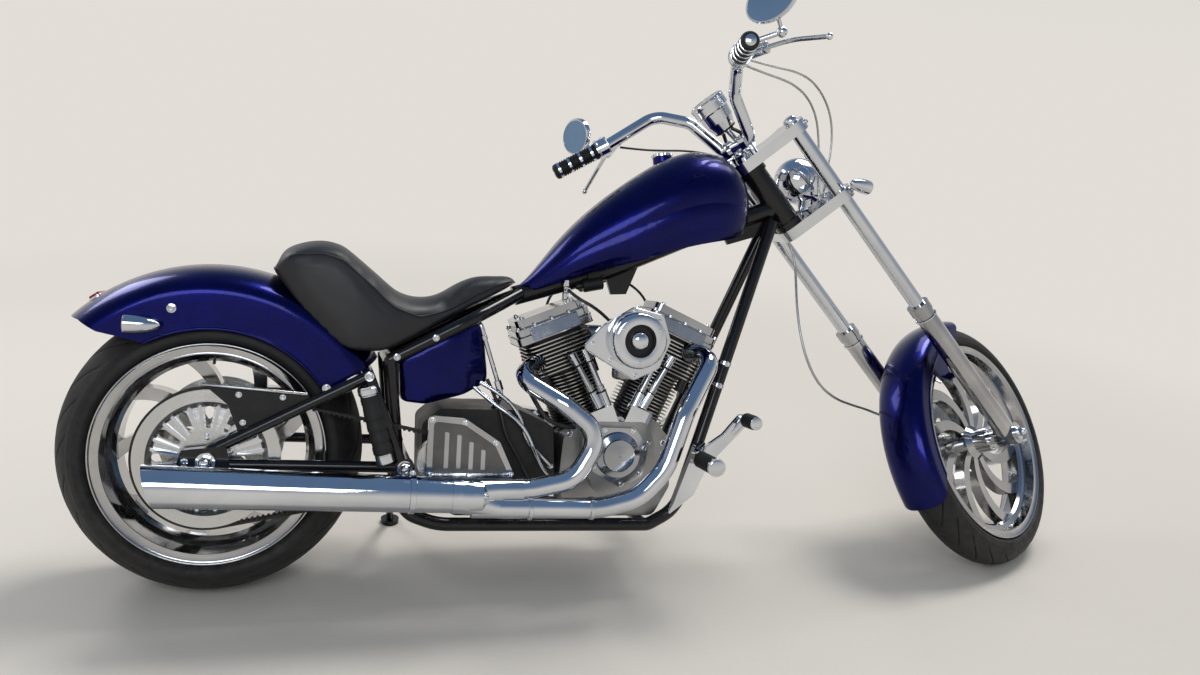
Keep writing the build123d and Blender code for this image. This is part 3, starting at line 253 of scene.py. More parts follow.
FINISHES = {
    # tone, other tone, metallic, polish, marks,
    # grain scale, cells, grain depth in mm, dust, clear coat, shine
    "chrome": ((0.66, 0.68, 0.71), (0.56, 0.58, 0.62), 1.0, 0.035, 0.09,
        24, 0.0, 0.30, 0.08, 0.0, 0.5),
    "billet_polish": ((0.50, 0.50, 0.50), (0.36, 0.36, 0.37), 1.0, 0.07, 0.12,
        30, 0.0, 0.40, 0.10, 0.0, 0.5),
    # Darker copy of chrome for the big flat castings: painted dark reflection.
    "chrome_painted_darker": ((0.44, 0.45, 0.47), (0.30, 0.31, 0.33), 1.0, 0.09, 0.14,
        26, 0.0, 0.90, 0.14, 0.0, 0.5),
    "machined_fin": ((0.60, 0.59, 0.56), (0.44, 0.43, 0.41), 1.0, 0.24, 0.16,
        700, 0.2, 0.004, 0.10, 0.0, 0.5),
    "bright_steel": ((0.56, 0.56, 0.55), (0.44, 0.44, 0.43), 1.0, 0.20, 0.16,
        600, 0.2, 0.004, 0.15, 0.0, 0.5),
    "dark_steel": ((0.13, 0.13, 0.13), (0.08, 0.08, 0.08), 1.0, 0.30, 0.16,
        500, 0.4, 0.01, 0.20, 0.0, 0.5),
    "cast_aluminium": ((0.36, 0.36, 0.35), (0.26, 0.26, 0.26), 0.9, 0.30, 0.18,
        900, 0.7, 0.05, 0.25, 0.0, 0.5),
    "black_cast": ((0.012, 0.012, 0.013), (0.022, 0.021, 0.020), 0.0, 0.42, 0.16,
        800, 0.7, 0.05, 0.12, 0.0, 0.3),
    "black_frame": ((0.004, 0.004, 0.005), (0.008, 0.007, 0.008), 0.0, 0.20, 0.10,
        240, 0.1, 0.004, 0.05, 0.35, 0.2),
    "black_satin": ((0.010, 0.010, 0.011), (0.018, 0.018, 0.018), 0.1, 0.32, 0.12,
        500, 0.3, 0.01, 0.06, 0.0, 0.3),
    "tyre_rubber": ((0.011, 0.011, 0.012), (0.018, 0.017, 0.017), 0.0, 0.58, 0.16,
        1100, 0.4, 0.05, 0.10, 0.0, 0.3),
    "belt_rubber": ((0.009, 0.009, 0.009), (0.018, 0.017, 0.016), 0.0, 0.55, 0.15,
        1200, 0.3, 0.03, 0.15, 0.0, 0.3),
    "grip_rubber": ((0.008, 0.008, 0.009), (0.014, 0.014, 0.014), 0.0, 0.55, 0.12,
        1300, 0.5, 0.06, 0.03, 0.0, 0.3),
    "black_vinyl": ((0.011, 0.011, 0.013), (0.018, 0.018, 0.020), 0.0, 0.42, 0.10,
        700, 0.85, 0.07, 0.05, 0.0, 0.4),
    "braid_silver": ((0.52, 0.52, 0.52), (0.36, 0.36, 0.36), 0.9, 0.28, 0.14,
        1500, 0.9, 0.2, 0.10, 0.0, 0.5),
    "wire_black": ((0.010, 0.010, 0.010), (0.02, 0.02, 0.02), 0.0, 0.40, 0.15,
        900, 0.2, 0.01, 0.10, 0.0, 0.5),
    "dial_white": ((0.78, 0.78, 0.74), (0.74, 0.74, 0.70), 0.0, 0.45, 0.05,
        900, 0.2, 0.002, 0.0, 0.0, 0.5),
    "dial_black": ((0.012, 0.012, 0.014), (0.016, 0.016, 0.018), 0.0, 0.50, 0.05,
        900, 0.2, 0.002, 0.0, 0.0, 0.5),
    "needle_red": ((0.55, 0.03, 0.02), (0.50, 0.03, 0.02), 0.0, 0.35, 0.05,
        900, 0.2, 0.002, 0.0, 0.0, 0.5),
    "soot": ((0.012, 0.011, 0.010), (0.03, 0.026, 0.022), 0.0, 0.80, 0.10,
        500, 0.6, 0.06, 0.0, 0.0, 0.5),
}


def node_material(name):
    """New material with nodes, its bench and its shader's sockets."""
    material = bpy.data.materials.new(name)
    material.use_nodes = True
    return material, Bench(material.node_tree), material.node_tree.nodes["Principled BSDF"].inputs


def make_finish(name):
    """Procedural material of one row of the finish table."""
    tone, other, metallic, polish, marks, grain_scale, cells, depth, dust, coat, shine = FINISHES[name]
    material, bench, sockets = node_material(name)
    drift = bench.group(TONES, Tone=(*tone, 1), Other_Tone=(*other, 1), Scale=7.0)
    rough = bench.group(POLISH, Polish=polish, Marks=marks)
    dusty = bench.group(DUST, Color=drift["Color"], Roughness=rough["Roughness"], Amount=dust)
    grain = bench.group(GRAIN, Scale=float(grain_scale), Cells=cells)
    bench.fill(sockets, {"Base Color": dusty["Color"], "Roughness": dusty["Roughness"], "Metallic": metallic,
                         "Normal": bench.bump(grain["Height"], 0.6, 0.001 * depth), "Coat Weight": coat,
                         "Coat Roughness": 0.06, "Specular IOR Level": shine})
    return material


def candy_blue():
    """Deep candy blue: fine flake under a clear coat, with a faint lighter drift."""
    material, bench, sockets = node_material("candy_blue")
    deep, lighter, flake = (0.0003, 0.0008, 0.033, 1), (0.0005, 0.0014, 0.060, 1), (0.002, 0.010, 0.48, 1)
    drift = bench.group(TONES, Tone=deep, Other_Tone=lighter, Scale=9.0)
    flakes = bench.add("TexVoronoi", {"Vector": bench.place(), "Scale": 1500.0})
    share = bench.add("SeparateColor", {"Color": flakes.outputs["Color"]}).outputs["Red"]
    colour = bench.mix(bench.ramp(share, 0.6, 1.0, end=0.4), drift["Color"], flake)
    rough = bench.group(POLISH, Polish=0.24, Marks=0.05)
    dusty = bench.group(DUST, Color=colour, Roughness=rough["Roughness"], Amount=0.03)
    bench.fill(sockets, {"Base Color": dusty["Color"], "Roughness": dusty["Roughness"], "Metallic": 0.92,
                         "Normal": bench.bump(share, 0.12, 0.0002), "Coat Weight": 0.4, "Coat IOR": 1.34,
                         "Coat Roughness": 0.025})
    return material


def turned_steel(name, home, lines):
    """Steel with turned rings round a wheel's axle."""
    material, bench, sockets = node_material(name)
    turn_back = home.to_3x3().normalized().inverted()
    to_hub = {"Location": turn_back @ -home.translation, "Rotation": turn_back.to_euler()}
    local = bench.add("Mapping", {"Vector": bench.place()} | to_hub, vector_type="POINT").outputs["Vector"]
    parts = bench.add("SeparateXYZ", {"Vector": local}).outputs
    flat = bench.add("CombineXYZ", {"X": parts["X"], "Z": parts["Z"]}).outputs["Vector"]
    radius = bench.add("VectorMath", {0: flat}, operation="LENGTH").outputs["Value"]
    rings = bench.add("TexNoise", {"Scale": lines, "Detail": 2.0}, noise_dimensions="1D")
    bench.fill(rings.inputs, {"W": radius})
    rough = bench.group(POLISH, Polish=0.20, Marks=0.12)
    dusty = bench.group(DUST, Color=(0.56, 0.56, 0.55, 1), Roughness=rough["Roughness"], Amount=0.2)
    bench.fill(sockets, {"Base Color": dusty["Color"], "Roughness": dusty["Roughness"], "Metallic": 1.0,
                         "Normal": bench.bump(rings.outputs["Fac"], 0.5, 0.0002)})
    return material


def lens_plastic(name, colour, clear):
    """Moulded lens with fine ribs."""
    material, bench, sockets = node_material(name)
    drift = bench.group(TONES, Tone=(*colour, 1), Other_Tone=(*[c * 0.9 for c in colour], 1))
    grain = bench.group(GRAIN, Scale=260.0, Cells=1.0)
    rough = bench.group(POLISH, Polish=0.05, Marks=0.05)
    bench.fill(sockets, {"Base Color": drift["Color"], "Roughness": rough["Roughness"], "IOR": 1.49,
                         "Normal": bench.bump(grain["Height"], 0.25, 0.0006), "Transmission Weight": clear})
    return material


def mirror_painted_sky():
    """Mirror face, its tone tinted blue as a painted reflection of a blue sky."""
    material, bench, sockets = node_material("mirror_painted_sky")
    # Blue tone of the mirror: painted sky reflection.
    drift = bench.group(TONES, Tone=(0.16, 0.27, 0.44, 1), Other_Tone=(0.14, 0.24, 0.40, 1))
    rough = bench.group(POLISH, Polish=0.01, Marks=0.03)
    bench.fill(sockets, {"Base Color": drift["Color"], "Roughness": rough["Roughness"], "Metallic": 1.0})
    return material


PAINT = {name: make_finish(name) for name in FINISHES}
PAINT["candy_blue"] = candy_blue()
PAINT["rear_disc_steel"] = turned_steel("rear_disc_steel", REAR_HUB, 2600.0)
PAINT["front_disc_steel"] = turned_steel("front_disc_steel", FRONT_HUB, 2600.0)
PAINT["pulley_steel"] = turned_steel("pulley_steel", REAR_HUB, 1800.0)
PAINT["clear_lens"] = lens_plastic("clear_lens", (0.92, 0.94, 0.96), 0.9)
PAINT["amber_lens"] = lens_plastic("amber_lens", (0.80, 0.30, 0.03), 0.3)
PAINT["red_lens"] = lens_plastic("red_lens", (0.45, 0.012, 0.01), 0.3)
PAINT["mirror_painted_sky"] = mirror_painted_sky()

# CAD nodes of each finish
FINISH_NODES = {
    "black_frame": "frame_spine frame_rails swingarm side_stand",
    "black_satin": "belt_guard",
    "belt_rubber": "drive_belt",
    "bright_steel": "gearbox_pulley",
    "candy_blue": "rear_fender fuel_tank oil_tank front_fender",
    "black_vinyl": "seat",
    "cast_aluminium": "crankcase intake",
    "black_cast": "cylinders gearbox",
    # Chrome castings in the darker copy of chrome: painted dark reflection.
    "chrome_painted_darker": "rocker_boxes cam_cover gear_cover",
    "billet_polish": "rear_caliper fork_sliders front_caliper rear_wheel front_wheel",
    "grip_rubber": "grips",
    "braid_silver": "brake_hose control_cables",
    "tyre_rubber": "rear_tyre front_tyre",
    "pulley_steel": "rear_pulley",
    "rear_disc_steel": "rear_disc",
    "front_disc_steel": "front_disc",
    "chrome": "rear_axle pushrod_tubes air_cleaner primary_cover muffler exhaust_pipes foot_controls "
              "rear_lamps fork_trees fork_tubes front_axle handlebar hand_controls mirrors front_lamps "
              "speedometer",
}


def dress(obj, finish):
    """Give an object one finish."""
    obj.data.materials.clear()
    obj.data.materials.append(PAINT[finish])


def dress_nodes():
    """Give each CAD node its finish."""
    for finish, names in FINISH_NODES.items():
        for name in names.split():
            dress(frame["nodes"][name], finish)


# Shapes, in millimetres
def arc_points(first, middle, last, count):
    """Points of the arc through three points of a plane, ends included."""
    a, b, c = (Vector(p) for p in (first, middle, last))
    far_a, far_b, far_c = (p.length_squared for p in (a, b, c))
    turn_sum = 2 * (a.x * (b.y - c.y) + b.x * (c.y - a.y) + c.x * (a.y - b.y))
    ux = (far_a * (b.y - c.y) + far_b * (c.y - a.y) + far_c * (a.y - b.y)) / turn_sum
    uy = (far_a * (c.x - b.x) + far_b * (a.x - c.x) + far_c * (b.x - a.x)) / turn_sum
    centre = Vector((ux, uy))
    start, half, end = (math.atan2(p.y - uy, p.x - ux) for p in (a, b, c))
    sweep = (end - start) % math.tau
    if (half - start) % math.tau > sweep:
        sweep -= math.tau
    radius = (a - centre).length
    steps = [start + sweep * i / (count - 1) for i in range(count)]
    return [(ux + radius * math.cos(t), uy + radius * math.sin(t)) for t in steps]


def rounded(outline, radius, steps=5):
    """Outline with its corners rounded."""
    out = []
    count = len(outline)
    for i, corner in enumerate(outline):
        point = Vector(corner)
        back = Vector(outline[i - 1]) - point
        on = Vector(outline[(i + 1) % count]) - point
        half = back.angle(on) / 2
        reach = min(radius / max(math.tan(half), 0.05), 0.46 * back.length, 0.46 * on.length)
        start, end = point + back.normalized() * reach, point + on.normalized() * reach
        for step in range(steps + 1):
            t = step / steps
            out.append(tuple(start * (1 - t) ** 2 + point * (2 * t * (1 - t)) + end * t * t))
    return out


def oblong(length, width, radius, steps=5):
    """Rounded rectangle outline."""
    a, b = length / 2, width / 2
    return rounded([(-a, -b), (a, -b), (a, b), (-a, b)], radius, steps)


def join(bm, low, high):
    """Faces between two rings with the same number of points."""
    count = len(low)
    for i in range(count):
        j = (i + 1) % count
        bm.faces.new((low[i], low[j], high[j], high[i]))


def join_all(bm, rings):
    """Faces between each ring and the next."""
    for low, high in zip(rings, rings[1:]):
        join(bm, low, high)


def spoke(angle):
    """Outward and forward directions at an angle round the origin of an outline."""
    out = Vector((math.cos(angle), math.sin(angle)))
    return out, Vector((-out.y, out.x))


def turn(bm, profile, centre, axis, steps=48):
    """Surface turned from (radius, along) rows round an axis."""
    axis = Vector(axis).normalized()
    across = axis.orthogonal().normalized()
    beside = axis.cross(across)
    rings = []
    for radius, along in profile:
        base = Vector(centre) + axis * along
        if radius < 0.01:
            rings.append([bm.verts.new(base)])
            continue
        angles = [math.tau * i / steps for i in range(steps)]
        outward = [across * math.cos(t) + beside * math.sin(t) for t in angles]
        rings.append([bm.verts.new(base + way * radius) for way in outward])
    for low, high in zip(rings, rings[1:]):
        for i in range(steps):
            j = (i + 1) % steps
            corners = [low[i % len(low)], low[j % len(low)], high[j % len(high)], high[i % len(high)]]
            corners = list(dict.fromkeys(corners))
            if len(corners) > 2:
                bm.faces.new(corners)


def ring_at(bm, outline, level, home):
    """Points of an outline at one level."""
    return [bm.verts.new(home @ Vector((a, b, level))) for a, b in outline]


def plate(bm, outline, low, high, home=SIDE_ON):
    """Slab with an outline, from one level to another."""
    bottom, top = ring_at(bm, outline, low, home), ring_at(bm, outline, high, home)
    bm.faces.new(bottom)
    bm.faces.new(top[::-1])
    join(bm, bottom, top)


def band(bm, outline, low, high, home):
    """Open strip round an outline."""
    join(bm, ring_at(bm, outline, low, home), ring_at(bm, outline, high, home))


def bolt(bm, centre, axis, size):
    """Cap screw on a washer, with a socket in its head."""
    washer = [(1.5, -0.4), (1.5, 0.15), (1.0, 0.22)]
    head = [(1.0, 1.0), (0.86, 1.2), (0.52, 1.2), (0.46, 0.6), (0, 0.6)]
    turn(bm, [(r * size, h * size) for r, h in washer + head], centre, axis, 14)


def dome_nut(bm, centre, axis, size):
    """Acorn nut: six flats below a round cap."""
    turn(bm, [(size * 1.3, -0.5), (size * 1.3, 1.2), (size, 1.2)], centre, axis, 24)
    turn(bm, [(size, 0), (size, size * 0.9), (size * 0.9, size)], centre, axis, 6)
    dome = [(0.84, 0.9), (0.78, 1.25), (0.5, 1.55), (0, 1.65)]
    turn(bm, [(r * size, h * size) for r, h in dome], centre, axis, 20)


def link(obj):
    """Link an object to the scene."""
    bpy.context.scene.collection.objects.link(obj)
    return obj


BEVELLED_FROM = math.radians(40)


def piece(name, bm, home, body, finish, sharp=34.0, bevel=0.0, segments=2):
    """Turn a built shape into a piece that rides on a body."""
    bmesh.ops.remove_doubles(bm, verts=bm.verts, dist=0.001)
    bmesh.ops.recalc_face_normals(bm, faces=bm.faces)
    if bevel:
        keen = [e for e in bm.edges if len(e.link_faces) == 2 and e.calc_face_angle(0) > BEVELLED_FROM]
        bmesh.ops.bevel(bm, geom=keen, offset=bevel, segments=segments, affect="EDGES", clamp_overlap=True)
    bmesh.ops.transform(bm, matrix=home, verts=bm.verts)
    for face in bm.faces:
        face.smooth = True
    for edge in bm.edges:
        if len(edge.link_faces) != 2 or edge.calc_face_angle(0) > math.radians(sharp):
            edge.smooth = False
    mesh = bpy.data.meshes.new(name)
    bm.to_mesh(mesh)
    bm.free()
    return settle(bpy.data.objects.new(name, mesh), body, finish)


def settle(obj, body, finish):
    """Link a piece, give it its finish and let it ride."""
    dress(link(obj), finish)
    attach(obj, body)
    return obj


def round_curve(name, places, radius):
    """Curve with a round section, and its spline with its control points."""
    curve = bpy.data.curves.new(name, "CURVE")
    curve.dimensions = "3D"
    curve.bevel_depth = radius
    spline = curve.splines.new("NURBS")
    spline.points.add(len(places) - 1)
    for point, place in zip(spline.points, places):
        point.co = (*place, 1)
    return curve, spline


def bent_line(name, route, diameter, home, body, finish, resolution=4):
    """Smooth line of a cable, hose or pipe along its control points, with closed ends."""
    curve, spline = round_curve(name, [home @ Vector(place) for place in route], diameter / 2)
    spline.order_u = 3
    spline.use_endpoint_u = True
    spline.resolution_u = 8
    curve.bevel_resolution = resolution
    curve.use_fill_caps = True
    return settle(bpy.data.objects.new(name, curve), body, finish)


# Cords: throttle and clutch cables, brake hose, plug leads
# Points in fork coordinates in metres: ahead, left, along the steering axis
OUTER_CABLE = [
    (-0.0972, 0.2351, 1.3176), (-0.042, 0.230, 1.2823), (0.022, 0.222, 1.2443), (0.098, 0.208, 1.2063),
    (0.168, 0.194, 1.1543), (0.212, 0.172, 1.0863), (0.224, 0.144, 1.0203), (0.202, 0.112, 0.9623),
    (0.152, 0.086, 0.9203), (0.098, 0.070, 0.8797),
]
INNER_CABLE = [
    (-0.1032, 0.2231, 1.3116), (-0.044, 0.216, 1.2663), (0.016, 0.208, 1.2263), (0.082, 0.194, 1.1823),
    (0.138, 0.174, 1.1283), (0.168, 0.148, 1.0703), (0.172, 0.118, 1.0163), (0.152, 0.092, 0.9663),
    (0.116, 0.074, 0.9243), (0.084, 0.062, 0.8797),
]
BRAKE_HOSE = [
    (0.020, 0.044, 0.8517), (0.008, 0.052, 0.790), (-0.038, 0.060, 0.744), (-0.092, 0.066, 0.698),
    (-0.146, 0.072, 0.640), (-0.186, 0.078, 0.572), (-0.196, 0.084, 0.500), (-0.168, 0.090, 0.432),
    (-0.122, 0.094, 0.372), (-0.072, 0.098, 0.314), (-0.030, 0.100, 0.256), (0.006, 0.096, 0.204),
    (0.042, 0.086, 0.152),
]
CORDS = [
    # name, route, side, diameter, length, finish
    ("throttle_cable_outer", OUTER_CABLE, -1, 0.006, 0.66, "braid_silver"),
    ("throttle_cable_inner", INNER_CABLE, -1, 0.006, 0.60, "braid_silver"),
    ("clutch_cable", INNER_CABLE, 1, 0.006, 0.60, "wire_black"),
    ("brake_line", BRAKE_HOSE, 1, 0.007, 0.85, "braid_silver"),
]


def hang_cords():
    """Cables from the hand controls and the hose to the caliper."""
    made = []
    for name, route, side, diameter, length, finish in CORDS:
        points = [(w, side * y, h) for w, y, h in route]
        obj = bent_line(name, points, diameter, FORK, "steering", finish)
        made.append(obj)
    for obj in made[:3]:
        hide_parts("control_cables")
    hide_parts("brake_hose")


# Tyres
def tyre_profile(radius, crown, crown_half, side_half, flange, bead, seat):
    """Half section (radius, across) from the crown's middle out to the bead, with the tread's share."""
    centre = radius - crown
    edge = centre + math.sqrt(crown ** 2 - crown_half ** 2)
    bulge = flange + 0.4 * (edge - flange)
    low_side = (0.5 * (flange + bulge), 0.25 * seat + 0.75 * side_half)
    shoulder = (0.5 * (bulge + edge) + 0.12 * (side_half - crown_half), 0.62 * side_half + 0.38 * crown_half)
    reach = math.asin(crown_half / crown)
    top = [(centre + crown * math.cos(reach * i / 34), crown * math.sin(reach * i / 34)) for i in range(35)]
    side = arc_points((edge, crown_half), shoulder, (bulge, side_half), 10)[1:]
    low = arc_points((bulge, side_half), low_side, (flange, seat), 12)[1:]
    return top, side + low + [(bead, seat)]


TYRE_STEPS = 640
GROOVE_HALF = 4.2


def tread_depth(around, across, half, pitch, sweep, width):
    """Depth of the curved grooves at a place on the crown, 0 to 1."""
    if not 0.10 * half < abs(across) < 0.97 * half:
        return 0.0
    share = abs(across) / half
    side = 0.5 if across > 0 else 0.0
    lane = (around / pitch + side + sweep * share ** 1.5) % 1.0
    gap = min(lane, 1 - lane) * pitch
    return min(1.0, max(0.0, (width - gap) / (0.4 * width)))


TYRES = [
    # name, home, body, section (radius, crown, crown half, side half, flange, bead, seat),
    # grooves, sweep, groove depth
    ("rear", REAR_HUB, "rear_wheel", (REAR_RADIUS, 160.0, 105.0, 125.0, 246.0, 229.0, 109.0), 22, 1.5, 4.5),
    ("front", FRONT_HUB, "front_wheel", (FRONT_RADIUS, 60.0, 50.0, 59.0, 284.0, 270.0, 45.0), 26, 1.1, 3.5),
]


def treaded_tyre(name, home, body, section, grooves, sweep, depth):
    """Tyre with curved tread grooves and sidewall rings, over its CAD ring."""
    radius, _, crown_half, _, flange, _, _ = section
    top, side = tyre_profile(*section)
    rows = [(r, -y, -1) for r, y in reversed(side)] + [(r, -y, 1) for r, y in reversed(top[1:])]
    rows += [(r, y, 1) for r, y in top] + [(r, y, -1) for r, y in side]
    pitch = math.tau * radius / grooves
    bm = bmesh.new()
    rings = []
    ridges = (flange + 9, flange + 12, flange + 26)
    for r, y, kind in rows:
        ring = []
        for i in range(TYRE_STEPS):
            turn_at = math.tau * i / TYRE_STEPS
            cut = 0.0
            if kind > 0:
                cut = depth * tread_depth(turn_at * radius, y, crown_half, pitch, sweep, GROOVE_HALF)
            elif any(abs(r - at) < 2.6 for at in ridges):
                cut = -0.9
            reach = r - cut * (1 if kind > 0 else 0.2)
            lean = -cut if kind < 0 else 0.0
            width = y + math.copysign(lean, y)
            ring.append(bm.verts.new((reach * math.cos(turn_at), width, reach * math.sin(turn_at))))
        rings.append(ring)
    join_all(bm, rings + rings[:1])
    obj = piece(f"{name}_tyre_treaded", bm, home, body, "tyre_rubber", sharp=60)
    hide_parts(f"{name}_tyre")


def steps_over(obj):
    """Mesh of an object as its modifiers leave it."""
    bpy.context.view_layer.update()
    return bpy.data.meshes.new_from_object(obj.evaluated_get(bpy.context.evaluated_depsgraph_get()))


# Fenders
CROWN_POWER = 2 / 2.12


def fender_outline(edge, shoulder, crown, half, sheet):
    """U section in (radius, y): round crown that runs smoothly into straight sides with rolled edges."""
    def skin(inset):
        wide, top = half - inset, crown - inset
        rows = [(edge + (shoulder - edge) * i / 4, wide) for i in range(5)]
        for i in range(1, 24):
            t = math.pi / 2 * i / 24
            rise, narrow = math.sin(t) ** CROWN_POWER, math.cos(t) ** CROWN_POWER
            rows.append((shoulder + (top - shoulder) * rise, wide * narrow))
        return rows + [(top, 0)] + [(r, -y) for r, y in reversed(rows)]

    roll = [(5, 0.2), (4, 1.6), (1, 2.2), (-1, 1), (-1, -sheet)]
    bead = [(edge + rise, half + out) for rise, out in roll]
    outer = skin(0)
    inner = skin(sheet)
    outer[0:1] = bead[::-1]
    outer[-1:] = [(r, -y) for r, y in bead]
    return outer + inner[::-1]


def fender_skin(bm, outline, start, end, centre, steps, trim=(0, 0)):
    """Section swept round an axle between two angles in degrees, with its sides cut back at the ends."""
    low_edge = min(r for r, y in outline)
    rise = max(r for r, y in outline) - low_edge
    rings = []
    for step in range(steps + 1):
        ring = []
        for r, y in outline:
            back = (1 - (r - low_edge) / rise) ** 1.6
            first, last = start + trim[0] * back, end - trim[1] * back
            angle = math.radians(first + (last - first) * step / steps)
            ring.append(bm.verts.new(centre + Vector((r * math.cos(angle), y, r * math.sin(angle)))))
        rings.append(ring)
    count = len(outline)
    join_all(bm, rings)
    for ring in (rings[0], rings[-1][::-1]):
        half = count // 2
        for i in range(half - 1):
            a, b = ring[i], ring[i + 1]
            c, d = ring[count - 2 - i], ring[count - 1 - i]
            bm.faces.new((a, b, c, d))


def rear_fender_skin():
    """Rear fender with its kicked-up tail."""
    bm = bmesh.new()
    fender_skin(bm, fender_outline(277, 352, 417, 138, 3), 31.86, 137, Vector((0, 0, REAR_RADIUS)), 80)
    body = piece("rear_fender_skin", bm, BIKE, "chassis", "candy_blue", sharp=50)
    bm = bmesh.new()
    tail = [(-98, 560), (-186, 583), (-228, 592), (-268, 614), (-420, 640), (-420, 300), (-98, 300)]
    plate(bm, tail, -220, 220)
    bmesh.ops.transform(bm, matrix=BIKE, verts=bm.verts)
    bmesh.ops.recalc_face_normals(bm, faces=bm.faces)
    mesh = bpy.data.meshes.new("tail_cut")
    bm.to_mesh(mesh)
    bm.free()
    cutter = link(bpy.data.objects.new("tail_cut", mesh))
    cut = body.modifiers.new("tail", "BOOLEAN")
    cut.operation = "DIFFERENCE"
    cut.solver = "EXACT"
    cut.object = cutter
    mesh = steps_over(body)
    body.modifiers.clear()
    body.data = mesh
    bpy.data.objects.remove(cutter)
    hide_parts("rear_fender")


def front_fender_skin():
    """Front fender with a pointed tab and a lug at each fork leg."""
    centre = Vector((FORK_AHEAD, 0, 0))
    bm = bmesh.new()
    fender_skin(bm, fender_outline(302, 332, 370, 69, 3), 54, 168, centre, 90, trim=(7, 11))
    tab = [(8, 212), (-62, 296), (-30, 318), (40, 316), (26, 250)]
    for side in (-1, 1):
        shape = rounded([(x + FORK_AHEAD, z) for x, z in tab], 6, 4)
        plate(bm, shape, side * 66, side * 69)
        lug = [(0, 67), (9, 67), (9, 69), (12, 69.6), (12, 72), (9, 73), (9, 97), (0, 97)]
        turn(bm, lug, (FORK_AHEAD + 10, 0, 232), (0, side, 0), 32)
    body = piece("front_fender_skin", bm, STEER, "steering", "candy_blue", sharp=50)
    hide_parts("front_fender")


# Seat and oil tank
SEAT_SQUARES = 0.006
TANK_SQUARES = 0.005
SWELL_PRESSURE = 4.0
SWELL_STEPS = 20
SWELL_LIMIT = 0.006
SEAT_DROP = [
    # x, fall of the top's edge below its middle
    (100, 14), (180, 20), (284, 26), (378, 28), (443, 32), (499, 36), (564, 30), (621, 18), (690, 10),
]
SEAT_PLAN = [
    # x, half width
    (100, 90), (118, 104), (150, 130), (200, 137), (300, 145), (360, 141), (400, 137), (460, 118),
    (520, 95), (580, 74), (640, 55), (672, 40), (684, 22),
]
SEAT_TOP = [
    # x, height of the middle
    (108, 752), (136, 790), (168, 802), (218, 810), (268, 800), (330, 752), (383, 706), (440, 689),
    (520, 716), (580, 744), (668, 762), (690, 750),
]
SEAT_FOOT = [
    # x, height of the lower edge
    (108, 752), (176, 652), (240, 592), (278, 566), (356, 566), (446, 610), (560, 672), (655, 724),
    (690, 745),
]


def between(rows, x):
    """Value of a table at x, on straight runs."""
    for (low, first), (high, second) in zip(rows, rows[1:]):
        if x <= high:
            return first + (second - first) * max(0.0, (x - low) / (high - low))
    return rows[-1][1]


def smooth_step(value):
    """Soft ramp from 0 to 1."""
    value = min(1.0, max(0.0, value))
    return value * value * (3 - 2 * value)


def crown(place):
    """Place on the seat moved down towards the top's edges, so that the top is crowned."""
    x, y, z = place
    top, foot = between(SEAT_TOP, x), between(SEAT_FOOT, x)
    share = smooth_step((z - foot) / max(top - foot, 20.0) * 1.25 - 0.2)
    across = min(1.0, abs(y) / between(SEAT_PLAN, x))
    return Vector((x, y, z - between(SEAT_DROP, x) * share * across ** 2.4))


def relax(bm, verts, times):
    """Even out a surface."""
    for _ in range(times):
        bmesh.ops.smooth_vert(bm, verts=verts, factor=0.5, use_axis_x=True, use_axis_y=True, use_axis_z=True)
    bm.normal_update()


def even_mesh(obj, size):
    """Mesh of an object in even small squares."""
    even = link(obj).modifiers.new("even", "REMESH")
    even.mode = "VOXEL"
    even.voxel_size = size
    mesh = steps_over(obj)
    obj.modifiers.clear()
    return mesh


def padded_seat():
    """Seat crowned and swollen from its CAD form, with its welts."""
    obj = bpy.data.objects.new("seat_pad", frame["nodes"]["seat"].data.copy())
    mesh = even_mesh(obj, SEAT_SQUARES)
    obj.data = mesh
    upright = MACHINE.to_3x3().inverted()
    back = BIKE.inverted()
    bm = bmesh.new()
    bm.from_mesh(mesh)
    relax(bm, bm.verts[:], 14)
    for v in bm.verts:
        v.co = BIKE @ crown(back @ v.co)
    relax(bm, bm.verts[:], 5)
    loose = [smooth_step(((upright @ v.normal).z + 0.5) / 0.5) for v in bm.verts]
    for v, share in zip(bm.verts, loose):
        v.co -= v.normal * 0.002 * share
    bm.to_mesh(mesh)
    bm.free()
    start = [v.co.copy() for v in mesh.vertices]
    cloth = obj.modifiers.new("stuffing", "CLOTH")
    cloth.settings.use_pressure = True
    cloth.settings.uniform_pressure_force = SWELL_PRESSURE
    cloth.settings.effector_weights.gravity = 0.0
    for step in range(SWELL_STEPS):
        bpy.context.scene.frame_set(step + 1)
    swollen = steps_over(obj)
    moved = [v.co.copy() for v in swollen.vertices]
    obj.modifiers.clear()
    bpy.context.scene.frame_set(1)
    for vertex, was, now, share in zip(mesh.vertices, start, moved, loose):
        shift = now - was
        cap = SWELL_LIMIT * share
        if shift.length > cap:
            shift = shift.normalized() * cap if shift.length else shift
        vertex.co = was + shift
    mesh.update()
    bm = bmesh.new()
    bm.from_mesh(mesh)
    relax(bm, bm.verts[:], 6)
    relax(bm, [v for v in bm.verts if (upright @ v.normal).z < 0.1], 14)
    bm.to_mesh(mesh)
    bm.free()
    smooth = obj.modifiers.new("smooth", "SUBSURF")
    smooth.levels = smooth.render_levels = 1
    mesh = steps_over(obj)
    obj.modifiers.clear()
    obj.data = mesh
    mesh.shade_smooth()
    dress(obj, "black_vinyl")
    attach(obj, "chassis")
    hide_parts("seat")
    seat_welts(obj)


